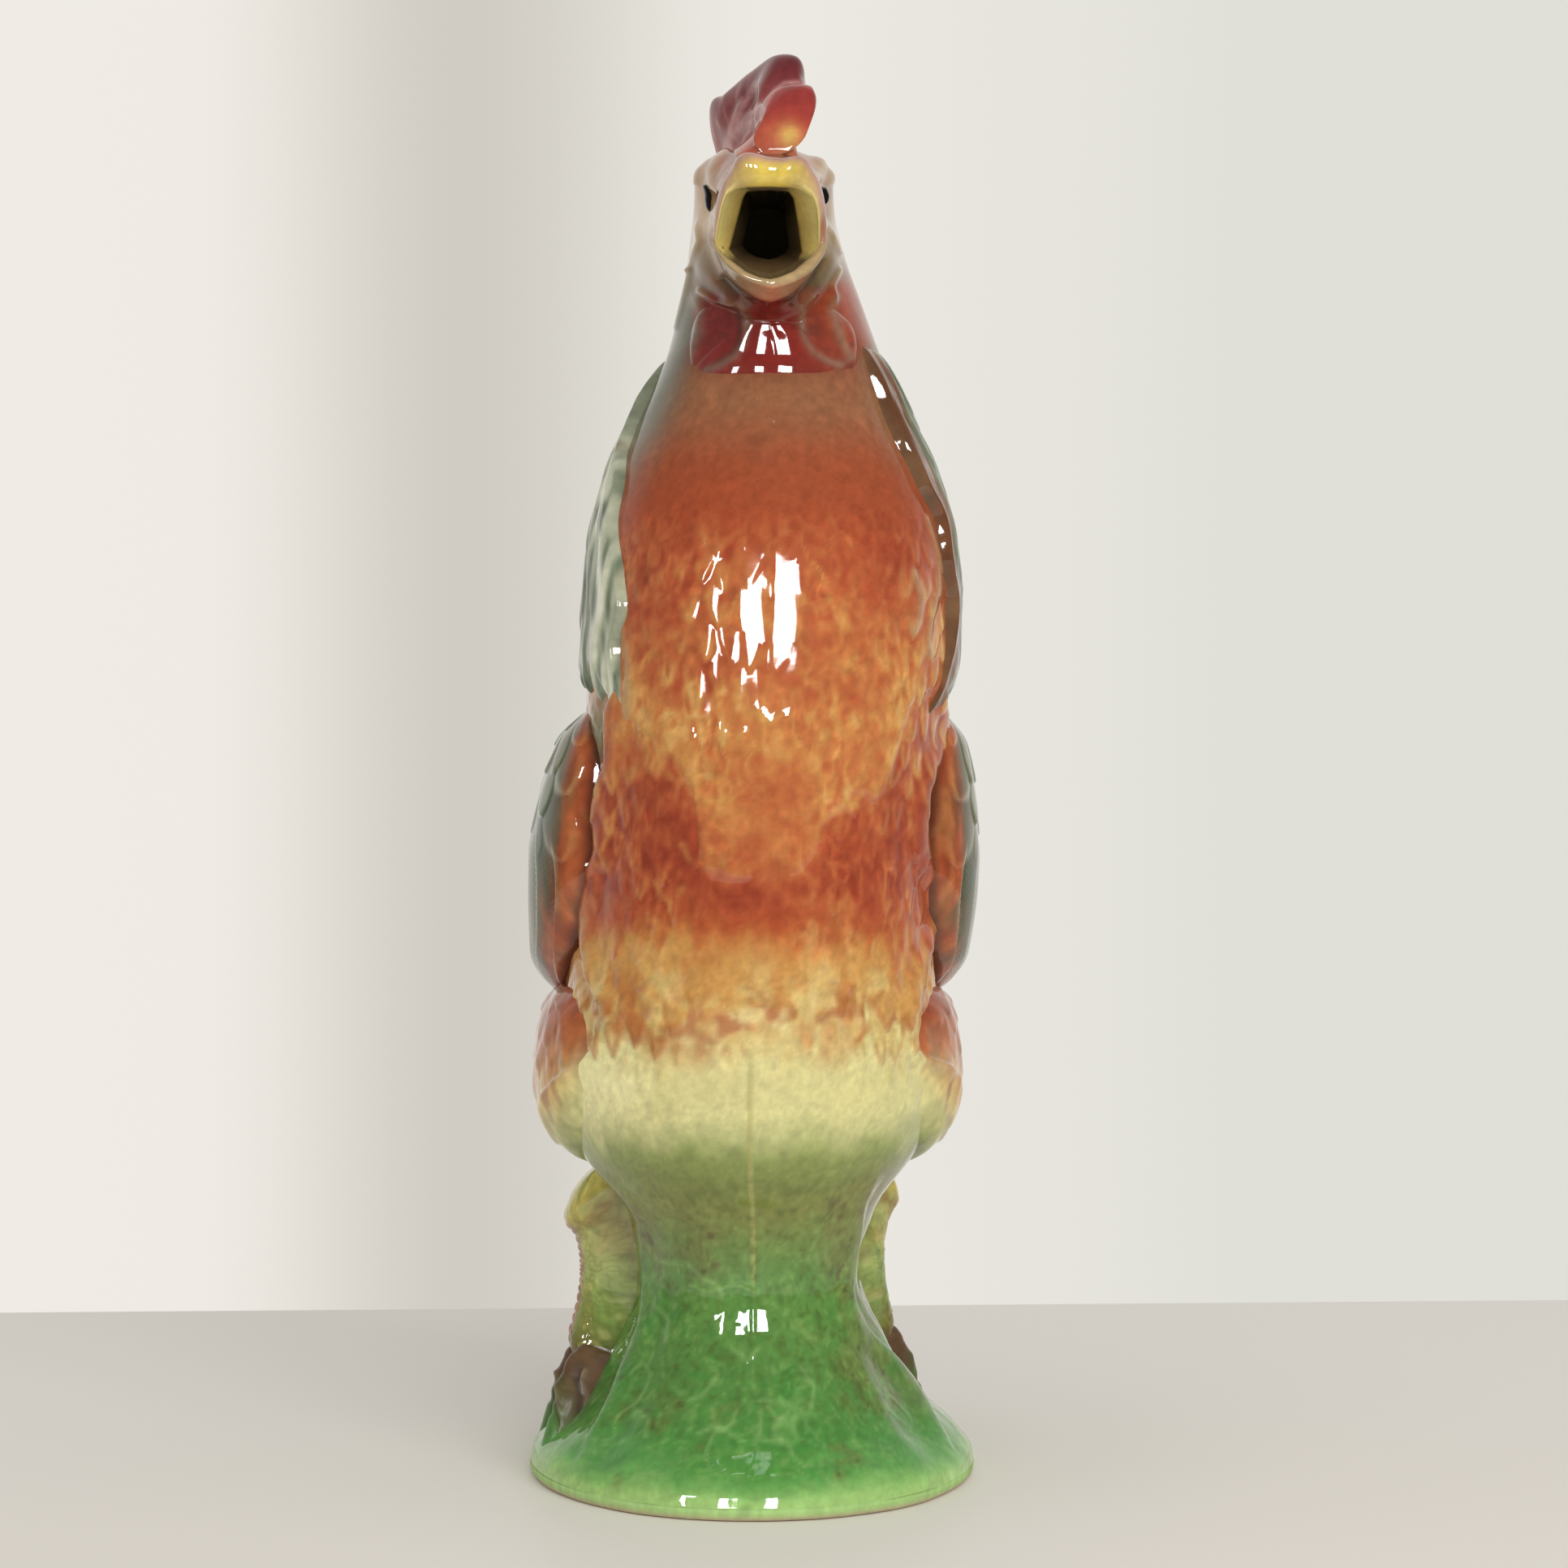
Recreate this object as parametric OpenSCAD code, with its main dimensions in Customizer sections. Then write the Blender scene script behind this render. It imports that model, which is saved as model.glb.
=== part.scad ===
// Chicken pitcher: a glazed earthenware cockerel that pours through its open beak.
// Millimetres, +Z up. The origin is the centre of the foot on the table and the bird faces -Y.
// The wall is one skin of rings: level rings up to the throat, then rings that tilt forward
// about the throat until the last one stands upright as the mouth. Every applied piece,
// such as a wing or a toe, is a patch that lies on that skin and follows it.

/* [Foot and base] */
// Height of the unglazed foot
foot_h = 3; // [2:0.5:5]
// Width of the base at its lip
base_w = 108.6; // [100:0.2:118]
// Reach of the lip to the front
base_front = 69; // [62:0.5:76]
// Reach of the lip to the back
base_back = 67; // [60:0.5:74]
// Height of the waist, where the base meets the body
waist_z = 52; // [46:0.5:58]
// Width of the waist
waist_w = 56.4; // [50:0.2:64]
// Reach of the waist to the front
waist_front = 38.5; // [34:0.5:44]
// Reach of the waist to the back
waist_back = 40.5; // [36:0.5:46]

/* [Body] */
// Height of the throat, where the rings start to tilt
throat_z = 277; // [265:1:290]
// Height at which the neck starts
neck_z = 226; // [215:1:235]
// Width of the body at the belly
body_w = 96; // [88:0.5:106]
// Reach of the breast to the front
body_front = 61.5; // [54:0.5:68]
// Reach of the rump to the back
body_back = 67; // [60:0.5:74]
// How far the upper body stands off to the bird's left
body_sway = 5; // [0:0.5:8]

/* [Head and beak] */
// Width of the head at the throat
head_w = 51.6; // [46:0.2:58]
// Depth of the throat below the head's axis
head_below = 36; // [32:0.5:40]
// Depth of the nape above the head's axis
head_above = 28; // [25:0.5:32]
// Length of the open beak beyond the throat
beak_l = 22; // [18:0.5:26]
// Rise of the lower beak's tip above the throat
beak_lift = 6.5; // [4:0.5:9]
// Width of the mouth
mouth_w = 26.4; // [22:0.2:32]
// Depth of the mouth below its axis
mouth_below = 10.5; // [8:0.5:13]
// Depth of the mouth above its axis
mouth_above = 19.5; // [16:0.5:23]
// Forward tilt of the mouth's ring
mouth_tilt = 93; // [86:1:98]

/* [Walls] */
// Wall of the body
wall_t = 4.5; // [3.5:0.1:6]
// Floor above the foot
floor_t = 4; // [3:0.5:8]
// Wall of the crown and the beak's ridge
crown_t = 6; // [4.5:0.1:7]
// Wall of the throat and the lower lip
lip_t = 3; // [2.5:0.1:4]
// Wall at the sides of the beak
beak_t = 1.8; // [1.5:0.1:2.5]
// Clearance under each applied piece, which the glaze fills
seat_gap = 0.3; // [0.3:0.05:0.5]
// Thickness of an applied piece at its edge
edge_t = 0.8; // [0.5:0.1:1.5]

/* [Wings and thighs] */
// Height of the wing's shoulder
wing_top_z = 187; // [178:1:194]
// Height of the wing's tip
wing_tip_z = 117; // [117:1:126]
// Rise of the wing off the body
wing_t = 12.2; // [9:0.1:15]
// Height of the thigh's top
thigh_top_z = 115.5; // [108:0.5:116]
// Height of the thigh's lower edge
thigh_low_z = 74.5; // [74:0.5:80]
// Rise of the thigh off the body
thigh_t = 5.5; // [4:0.1:8]

/* [Legs and feet] */
// Height of the hock, where the leg leaves the thigh
leg_top_z = 73.5; // [66:0.5:73.5]
// Height at which the leg ends in the foot
leg_low_z = 27; // [24:0.5:32]
// Width of a leg
leg_w = 11; // [8:0.5:14]
// Rise of the leg off the waist
leg_t = 14; // [10:0.5:17]
// Height of the toe tips
toe_low_z = 6; // [5:0.5:10]
// Width of a toe
toe_w = 8; // [5:0.5:8]
// Rise of a toe off the base
toe_t = 9.5; // [4:0.5:11]

/* [Comb, wattles and eyes] */
// Height of the comb's highest lobe above the crown
comb_h = 27; // [20:0.5:32]
// Sideways spread of the comb's lobes
comb_w = 27; // [20:0.5:34]
// Thickness of the comb where it leaves the crown
comb_t = 15; // [10:0.5:18]
// Drop of a wattle below the throat
wattle_drop = 9; // [6:0.5:9.5]
// Width of a wattle
wattle_w = 12; // [8:0.5:13]
// Rise of a wattle off the throat
wattle_t = 4.5; // [3:0.1:6]
// Drop of the throat lappet below the throat
lappet_drop = 15.5; // [15:0.5:19]
// Rise of the throat lappet
lappet_t = 2; // [1:0.1:3]
// Diameter of an eye
eye_d = 8; // [6:0.5:10]
// Rise of an eye off the head
eye_t = 1; // [0.6:0.1:2]

/* [Hackle and tail] */
// Height of the hackle's upper edge
hackle_top_z = 270; // [264:0.5:272]
// Height of the hackle's feather tips
hackle_low_z = 191; // [189:1:200]
// Rise of the hackle off the neck
hackle_t = 2.2; // [1.5:0.1:3.5]
// Height of the tail's root
tail_top_z = 158; // [150:1:164]
// Height of the tail's feather tips
tail_low_z = 72; // [68:1:80]
// Rise of the tail off the rump
tail_t = 27; // [20:0.5:32]

/* [Handle] */
// Height of the handle's lower root
handle_low_z = 177; // [173:1:181]
// Reach of the handle behind the origin, as the curve pulls it
handle_reach = 104; // [92:1:112]
// Height of the handle's upper bend
handle_top_z = 303; // [292:1:312]
// Height of the handle's lower bend
handle_bend_z = 212; // [205:1:222]
// Width of the handle
handle_w = 15; // [12:0.5:18]
// Thickness of the handle
handle_t = 11; // [9:0.5:13]

/* [Hidden] */

// Points round each ring of the vessel
around = 40;
// Widest spacing of the rings along the belly, the base, its inside, the neck and the head
body_ring_gap = 10.3;
base_ring_gap = 5.5;
inner_ring_gap = 5.7;
neck_ring_gap = 7.3;
head_ring_gap = 7.9;
// Steps that feel out the skin's normal: degrees of angle, and a share of the throat's height
feel_angle = 2;
feel_share = 0.004;
// Travel along the skin for one degree of tilt, as a share of the throat's height
tilt_share = 0.0037;

// Tilt at which the head's wall splits into the two halves of the beak
beak_tilt = 84;
// Tilts of the eyes, and of the comb's back and front ends
eye_tilt = 68;
comb_back_tilt = 27;
comb_front_tilt = 81;
// Tilt of the handle's upper root
handle_tilt = 7;
// Angles round a level ring: the bird's left is 0, its back 90, its right 180, its front 270
back_angle = 90;
front_angle = 270;
wing_angle = 18;
wing_arc = 43;
thigh_angle = 8;
thigh_arc = 42;
left_leg_angle = 39;
right_leg_angle = 174;
left_foot_angle = 47;
right_foot_angle = 174;
hackle_arc = 135;
tail_arc = 34;
lappet_arc = 38;
lappet_tilt = 12;
wattle_angle = 26;
wattle_tilt = 20;
eye_angle = 14;
toe_root_angle = 12.5;
toe_tip_angle = 19;

// Each row: share of the height from foot to waist, share of the way from lip to waist
FLARE_shares = [[0, 0], [0.08, 0.06], [0.26, 0.44], [0.51, 0.76], [0.8, 0.98], [1, 1]];

// Each row: share of the height from waist to throat, then the half width, front and back
// as shares of the body's, and the sideways stand as a share of the sway
BODY_shares = [
    [0.05, 0.67, 0.68, 0.69, 0],
    [0.095, 0.81, 0.77, 0.79, -0.1],
    [0.138, 0.93, 0.86, 0.88, -0.15],
    [0.191, 0.99, 0.92, 0.94, -0.15],
    [0.267, 0.96, 0.97, 0.985, -0.1],
    [0.369, 0.93, 0.99, 1, 0.1],
    [0.48, 0.92, 1, 0.97, 0.32],
    [0.591, 0.92, 1, 0.91, 0.68],
    [0.693, 0.93, 0.96, 0.836, 0.92],
    [0.782, 0.905, 0.895, 0.746, 1],
    [0.858, 0.81, 0.8, 0.657, 1],
    [0.916, 0.69, 0.69, 0.567, 1],
    [0.969, 0.59, 0.595, 0.47, 1.1]
];

// Each row: share of the mouth's tilt, share of the beak's length, share of its lift, then
// the shares of the way from the head's width, depth below and depth above to the mouth's,
// the share of the sway, and the shares of the way to the mouth's wall and to its outline
HEAD_shares = [
    [0, 0, 0, 0, 0, 0, 1.1, 0, 0],
    [0.19, 0.02, 0.28, 0.3, 0.08, 0.35, 0.95, 0.05, 0.15],
    [0.41, 0.05, 0.4, 0.58, 0.16, 0.18, 0.65, 0.2, 1.1],
    [0.61, 0.11, 0.49, 0.75, 0.35, 0.47, 0.5, 0.35, 1.8],
    [0.785, 0.25, 0.58, 0.95, 0.55, 0.88, 0.42, 0.6, 1.3],
    [0.903, 0.48, 0.68, 0.98, 0.78, 1, 0.45, 0.8, 1],
    [0.968, 0.73, 0.82, 1, 0.92, 0.95, 0.48, 0.95, 1],
    [1, 1, 1, 1, 1, 1, 0.5, 1, 1]
];

// Roundness of a ring: 2 is an ellipse, more is squarer, less is more pointed
round_power = 2.1;
mouth_low_power = 1.4;
mouth_high_power = 3;
mouth_inner_share = 0.25;
// How far the rim reaches at the gape, as a share of the beak, and how fast it comes forward
gape_share = 0.3;
gape_power = 0.7;
// Share of the mouth's tilt over which the wall thickens to the crown's
crown_share = 0.5;
// Half of the tilt that an eye takes, as a share of half of its arc
eye_tilt_share = 0.5;

// Share of the handle's curve taken up by each root, and the step that feels out its direction
root_share = 0.1;
step_share = 0.004;
// Rise and arcs of the handle's roots, as shares of its thickness and of the arc of its width
root_rise_share = 0.8;
top_root_share = 0.9;
low_root_share = 0.7;
// Share of the way from the nape to the full reach at which the upper bend is pulled
pull_share = 0.7;
// How much thicker the handle grows at its roots, and how late the growth starts
swell_share = 0.5;
swell_power = 6;

// Depth of the grooves between feathers, as a share of a patch's rise
rib_share = 0.22;

// Rows for the applied patches: share of the length, then the middle, the half width and
// the rise as shares of the patch's arc, arc and rise
WING_shares = [
    [0, -0.3, 0.3, 0.2], [0.12, -0.22, 0.68, 0.62], [0.35, -0.05, 0.95, 1],
    [0.6, 0, 1, 1.04], [0.8, 0.08, 0.86, 0.96], [0.92, 0.14, 0.6, 0.88], [1, 0.16, 0.36, 0.72]
];
THIGH_shares = [
    [0, 0.05, 0.66, 0.8], [0.2, 0, 0.95, 1], [0.5, 0, 1, 1], [0.8, 0.05, 0.85, 0.95], [1, 0.1, 0.5, 0.6]
];
LEG_shares = [[0, 0, 1.05, 0.8], [0.2, 0, 0.9, 0.88], [0.6, 0, 0.95, 1], [0.9, 0, 1.15, 0.95], [1, 0, 1.1, 0.8]];
TOE_shares = [[0, 0, 0.72, 0.85], [0.25, 0, 0.85, 1], [0.6, 0, 0.85, 0.85], [1, 0, 0.4, 0.2]];
HACKLE_shares = [
    [0, 0, 0.72, 0.2], [0.12, 0, 0.8, 1], [0.3, 0, 0.85, 1], [0.65, 0, 0.92, 0.8], [1, 0, 1.02, 0.2]
];
TAIL_shares = [
    [0, 0, 0.7, 0.3], [0.12, 0, 0.95, 0.72], [0.35, 0, 1, 1], [0.6, 0, 0.82, 0.92],
    [0.85, 0, 0.66, 0.55], [1, 0, 0.4, 0.12]
];
LAPPET_shares = [[0, 0, 0.8, 0.3], [0.08, 0, 1, 1], [0.14, 0, 0.9, 1], [0.22, 0, 0.27, 1], [1, 0, 0.22, 0.8]];
WATTLE_shares = [[0, 0, 0.35, 0.2], [0.2, 0, 0.85, 0.8], [0.5, 0, 1, 1], [0.8, 0, 0.8, 0.8], [1, 0, 0.3, 0.2]];
EYE_shares = [[0, 0, 0.4, 0.2], [0.25, 0, 0.87, 0.8], [0.5, 0, 1, 1], [0.75, 0, 0.87, 0.8], [1, 0, 0.4, 0.2]];

// Each row: share of the comb's length from back to front, then the height as a share of the
// comb's, and the lean and the half spread as shares of its width
COMB_shares = [
    [0, 0.3, -0.1, 0.14], [0.1, 0.85, -0.28, 0.16], [0.2, 1.07, -0.38, 0.17], [0.3, 0.94, -0.26, 0.18],
    [0.42, 0.97, -0.02, 0.2], [0.54, 1, 0.2, 0.21], [0.64, 0.78, 0.2, 0.2], [0.72, 0.5, 0.16, 0.2],
    [0.82, 0.6, 0.28, 0.22], [0.9, 0.5, 0.28, 0.22], [1, 0.12, 0.08, 0.24]
];
// How much of the skin's slope the comb keeps as it stands up
comb_slope_share = 0.4;
// Each row of the comb's cross-section: sideways share, upward share
COMB_OUTLINE_shares = [
    [-1, 0], [-0.62, 0.35], [-0.9, 0.72], [-0.6, 1], [0.6, 1], [0.9, 0.72], [0.62, 0.35], [1, 0]
];

// Blends the rows of a table smoothly over its first column
function at_end(rows, i) = rows[max(0, min(len(rows) - 1, i))];
function span_of(rows, s, i = 0) = i + 2 >= len(rows) || s < rows[i + 1][0] ? i : span_of(rows, s, i + 1);
function slope(rows, i) =
    (at_end(rows, i + 1) - at_end(rows, i - 1)) / (at_end(rows, i + 1)[0] - at_end(rows, i - 1)[0]);
function blend(rows, s) =
    let (
        i = span_of(rows, s),
        gap = rows[i + 1][0] - rows[i][0],
        u = (s - rows[i][0]) / gap,
        v = 1 - u
    )
    rows[i] * (1 + 2 * u) * v * v
    + rows[i + 1] * (3 - 2 * u) * u * u
    + (slope(rows, i) * v - slope(rows, i + 1) * u) * gap * u * v;
function mix(a, b, share) = a + (b - a) * share;

// A place along the skin is its height up to the throat, and goes on with the tilt from there
function at_tilt(tilt) = throat_z * (1 + tilt * tilt_share);

// A ring: place, half width, lowest point's Y and Z, tilt, depths below and above its axis,
// sway, roundness below and above, then the wall at the side, below and above
function level_ring(z, half_w, front, back, sway) =
    [z, half_w, -front, z, 0, (front + back) / 2, (front + back) / 2, sway,
     round_power, round_power, wall_t, wall_t, wall_t];
function base_ring(share) =
    level_ring(
        mix(foot_h, waist_z, share[0]),
        mix(base_w, waist_w, share[1]) / 2,
        mix(base_front, waist_front, share[1]),
        mix(base_back, waist_back, share[1]),
        0
    );
function body_ring(share) =
    level_ring(
        mix(waist_z, throat_z, share[0]),
        body_w / 2 * share[1],
        body_front * share[2],
        body_back * share[3],
        body_sway * share[4]
    );
function head_ring(share) =
    [at_tilt(mouth_tilt * share[0]),
     mix(head_w, mouth_w, share[3]) / 2,
     -head_below - beak_l * share[1],
     throat_z + beak_lift * share[2],
     mouth_tilt * share[0],
     mix(head_below, mouth_below, share[4]),
     mix(head_above, mouth_above, share[5]),
     body_sway * share[6],
     mix(round_power, mouth_low_power, share[7] * share[7]),
     mix(round_power, mouth_high_power, share[8]),
     mix(wall_t, beak_t, share[7]),
     mix(wall_t, lip_t, share[7]),
     mix(wall_t, crown_t, min(1, share[0] / crown_share))];
RINGS = concat(
    [for (share = FLARE_shares) base_ring(share)],
    [for (share = BODY_shares) body_ring(share)],
    [for (share = HEAD_shares) head_ring(share)]
);

// A point of a ring, with deep 0 on the outside and 1 on the inside
function curve(x, power) = sign(x) * pow(abs(x), 2 / power);
function ring_point(ring, angle, deep) =
    let (
        low = sin(angle) < 0,
        power = low ? ring[8] : ring[9] * (1 + deep * mouth_inner_share * (ring[9] > round_power ? 1 : 0)),
        side = (ring[1] - deep * ring[10]) * curve(cos(angle), power),
        depth = low ? ring[5] - deep * ring[11] : ring[6] - deep * ring[12],
        reach = ring[5] + depth * curve(sin(angle), power)
    )
    [ring[7] + side, ring[2] + reach * cos(ring[4]), ring[3] + reach * sin(ring[4])];

// The skin's surface, and a point that stands proud of it
function skin(s, angle) = ring_point(blend(RINGS, s), angle, 0);
function unit(v) = v / norm(v);
function outward(s, angle) =
    unit(cross(
        skin(s, angle + feel_angle) - skin(s, angle - feel_angle),
        skin(s + feel_share * throat_z, angle) - skin(s - feel_share * throat_z, angle)
    ));
function proud(s, angle, rise) = skin(s, angle) + outward(s, angle) * rise;

// Degrees of arc that a width takes on the ring at s
function arc_of(width, s) = width / (PI * (skin(s, 0)[0] - skin(s, 180)[0])) * 360;

// Solid through a row of closed outlines with equal numbers of points. The outlines run
// clockwise as seen from the last one. The ends are closed, or joined to each other.
module loft(outlines, joined = false) {
    n = len(outlines);
    m = len(outlines[0]);
    sides = [
        for (i = [0:n - (joined ? 1 : 2)], j = [0:m - 1])
            let (a = i * m, b = (i + 1) % n * m, k = (j + 1) % m)
            each [[a + j, b + k, b + j], [a + j, a + k, b + k]]
    ];
    first = [for (j = [0:m / 2 - 2]) each [[j, m - 1 - j, j + 1], [j + 1, m - 1 - j, m - 2 - j]]];
    last = [for (f = first) [for (j = [2, 1, 0]) f[j] + (n - 1) * m]];
    polyhedron(
        points = [for (outline = outlines) each outline],
        faces = joined ? sides : concat(sides, first, last)
    );
}

// The rings of the wall between two places, no further apart than the gap
function rings_between(from, to, gap, deep) =
    let (steps = ceil(abs(to - from) / gap))
    [for (i = [0:steps])
        let (ring = blend(RINGS, mix(from, to, i / steps)))
        [for (j = [0:around - 1]) ring_point(ring, -360 * j / around, deep)]];

// A length of the wall, open at both ends
module wall(from, to, gap) {
    loft(concat(rings_between(from, to, gap, 0), rings_between(to, from, gap, 1)), joined = true);
}

// Half of the beak: the wall from one angle round to another. Its rim draws back to the gape.
module half_beak(from_angle, to_angle, steps, turns) {
    from = at_tilt(beak_tilt);
    function rim(angle) =
        mix(from, at_tilt(mouth_tilt), mix(gape_share, 1, pow(abs(sin(angle)), gape_power)));
    function edge(share, angle, deep) = ring_point(blend(RINGS, mix(from, rim(angle), share)), angle, deep);
    loft([
        for (i = [0:steps])
            concat(
                [for (j = [0:turns]) edge(i / steps, mix(to_angle, from_angle, j / turns), 0)],
                [for (j = [0:turns]) edge(i / steps, mix(from_angle, to_angle, j / turns), 1)]
            )
    ]);
}

// An applied patch that follows the skin. Mirrored patches lie on the bird's right.
module patch(table, from, to, middle, arc, rise, along, across, mirrored = false, ribs = 0) {
    loft([
        for (i = [0:along])
            let (
                row = blend(table, i / along),
                s = mix(from, to, i / along),
                spots = [
                    for (k = [0:across])
                        let (
                            turn = middle + arc * (row[1] + row[2] * cos(180 * k / across)),
                            rib = ribs > 0 ? 1 - rib_share * pow(cos(180 * ribs * k / across), 2) : 1
                        )
                        [mirrored ? 180 - turn : turn, edge_t + rise * row[3] * rib * sin(180 * k / across)]
                ],
                order = [for (k = [0:across]) (mirrored == (from < to)) ? across - k : k]
            )
            concat(
                [for (k = order) proud(s, spots[k][0], seat_gap + spots[k][1])],
                [for (k = [across:-1:0]) proud(s, spots[order[k]][0], seat_gap)]
            )
    ]);
}

// The flat unglazed face that the bird stands on
module foot() {
    color("wheat")
    linear_extrude(foot_h)
    polygon([for (j = [0:around - 1]) let (p = skin(foot_h, 360 * j / around)) [p[0], p[1]]]);
}

module base() {
    color("mediumseagreen")
    loft(concat(
        rings_between(foot_h, waist_z, base_ring_gap, deep = 0),
        rings_between(waist_z, foot_h + floor_t, inner_ring_gap, deep = 1)
    ));
}

module body() {
    color("orangered")
    wall(waist_z, neck_z, body_ring_gap);
}

module neck() {
    color("chocolate")
    wall(neck_z, throat_z, neck_ring_gap);
}

module head() {
    color("burlywood")
    wall(throat_z, at_tilt(beak_tilt), head_ring_gap);
}

module upper_beak() {
    color("gold")
    half_beak(0, 180, steps = 3, turns = 18);
}

module lower_beak() {
    color("tan")
    half_beak(180, 360, steps = 3, turns = 18);
}

// The comb's lobes lean to either side in turn
module comb() {
    from = at_tilt(comb_back_tilt);
    to = at_tilt(comb_front_tilt);
    steps = 26;
    color("brown")
    loft([
        for (i = [0:steps])
            let (
                row = blend(COMB_shares, i / steps),
                s = mix(from, to, i / steps),
                root = proud(s, back_angle, seat_gap),
                normal = outward(s, back_angle),
                up = unit([0, normal[1] * comb_slope_share, normal[2]])
            )
            [for (p = COMB_OUTLINE_shares)
                root
                + up * comb_h * row[1] * p[1]
                + [mix(comb_t / 2, comb_w * row[3], p[1]) * p[0] + comb_w * row[2] * p[1], 0, 0]]
    ]);
}

module wattle(mirrored) {
    color("firebrick")
    patch(
        WATTLE_shares,
        throat_z - wattle_drop,
        at_tilt(wattle_tilt),
        front_angle + wattle_angle,
        arc_of(wattle_w, throat_z) / 2,
        wattle_t,
        along = 8,
        across = 8,
        mirrored = mirrored
    );
}

module left_wattle() {
    wattle(false);
}

module right_wattle() {
    wattle(true);
}

module throat_lappet() {
    color("darkred")
    patch(
        LAPPET_shares,
        throat_z - lappet_drop,
        at_tilt(lappet_tilt),
        front_angle,
        lappet_arc,
        lappet_t,
        along = 14,
        across = 12
    );
}

module eye(mirrored) {
    reach = arc_of(eye_d, at_tilt(eye_tilt)) / 2;
    color("black")
    patch(
        EYE_shares,
        at_tilt(eye_tilt - reach * eye_tilt_share),
        at_tilt(eye_tilt + reach * eye_tilt_share),
        eye_angle,
        reach,
        eye_t,
        along = 6,
        across = 8,
        mirrored = mirrored
    );
}

module left_eye() {
    eye(false);
}

module right_eye() {
    eye(true);
}

module hackle_cape() {
    color("darkseagreen")
    patch(
        HACKLE_shares,
        hackle_low_z,
        hackle_top_z,
        back_angle,
        hackle_arc,
        hackle_t,
        along = 12,
        across = 28,
        ribs = 14
    );
}

module wing(mirrored) {
    color("slategray")
    patch(
        WING_shares,
        wing_top_z,
        wing_tip_z,
        wing_angle,
        wing_arc,
        wing_t,
        along = 16,
        across = 12,
        mirrored = mirrored
    );
}

module left_wing() {
    wing(false);
}

module right_wing() {
    wing(true);
}

module thigh(mirrored) {
    color("peru")
    patch(
        THIGH_shares,
        thigh_top_z,
        thigh_low_z,
        thigh_angle,
        thigh_arc,
        thigh_t,
        along = 10,
        across = 10,
        mirrored = mirrored
    );
}

module left_thigh() {
    thigh(false);
}

module right_thigh() {
    thigh(true);
}

module leg(angle) {
    color("olivedrab")
    patch(
        LEG_shares,
        leg_low_z,
        leg_top_z,
        angle,
        arc_of(leg_w, waist_z) / 2,
        leg_t,
        along = 12,
        across = 8
    );
}

module left_leg() {
    leg(left_leg_angle);
}

module right_leg() {
    leg(right_leg_angle);
}

// Three toes fan out down the base's flare
module toes(angle) {
    arc = arc_of(toe_w, leg_low_z) / 2;
    color("saddlebrown")
    for (toe = [-1:1]) {
        patch(
            [for (row = TOE_shares) row + [0, toe * mix(toe_root_angle, toe_tip_angle, row[0]) / arc, 0, 0]],
            leg_low_z - edge_t,
            toe_low_z,
            angle,
            arc,
            toe_t,
            along = 8,
            across = 6
        );
    }
}

module left_foot() {
    toes(left_foot_angle);
}

module right_foot() {
    toes(right_foot_angle);
}

module tail() {
    color("darkslategray")
    patch(
        TAIL_shares,
        tail_low_z,
        tail_top_z,
        back_angle,
        tail_arc,
        tail_t,
        along = 14,
        across = 20,
        ribs = 5
    );
}

// The handle leaves the nape, bends down behind the back and returns above the tail
module handle() {
    top = skin(at_tilt(handle_tilt), back_angle);
    low = skin(handle_low_z, back_angle);
    pull_high = [top[0], mix(top[1], handle_reach, pull_share), handle_top_z];
    pull_low = [low[0], handle_reach, handle_bend_z];
    steps = 16;
    corners = 12;
    root_arc = arc_of(handle_w, handle_low_z);
    root_t = handle_t * root_rise_share;
    // The roots spread over the skin, with the outer edge of the handle at the far side
    function root(s, rise, turn) =
        [for (j = [0:corners - 1])
            proud(s + rise * sin(360 * j / corners), back_angle - turn * cos(360 * j / corners), seat_gap)];
    function spine(u) =
        top * pow(1 - u, 3) + pull_high * 3 * u * pow(1 - u, 2)
        + pull_low * 3 * u * u * (1 - u) + low * pow(u, 3);
    function section(u) =
        let (
            along = unit(spine(u + step_share) - spine(u - step_share)),
            outer = [0, -along[2], along[1]],
            swell = 1 + swell_share * pow(2 * u - 1, swell_power)
        )
        [for (j = [0:corners - 1])
            spine(u)
            + [handle_w / 2 * swell * cos(360 * j / corners), 0, 0]
            + outer * handle_t / 2 * swell * sin(360 * j / corners)];
    color("olive")
    loft(concat(
        [root(at_tilt(handle_tilt), root_t, root_arc * top_root_share)],
        [for (i = [0:steps]) section(mix(root_share, 1 - root_share, i / steps))],
        [root(handle_low_z, -root_t, root_arc * low_root_share)]
    ));
}

foot();
base();
body();
neck();
head();
upper_beak();
lower_beak();
comb();
left_wattle();
right_wattle();
throat_lappet();
left_eye();
right_eye();
hackle_cape();
left_wing();
right_wing();
left_thigh();
right_thigh();
left_leg();
right_leg();
left_foot();
right_foot();
tail();
handle();
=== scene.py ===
"""Looks of the chicken pitcher: a glazed earthenware cockerel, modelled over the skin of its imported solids.

Lengths are in millimetres and angles in degrees until a mesh is made. An angle goes round the bird from its
left side at 0 over its back at 90 to its right side at 180, and its breast is at 270.
"""
import itertools
import math

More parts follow.
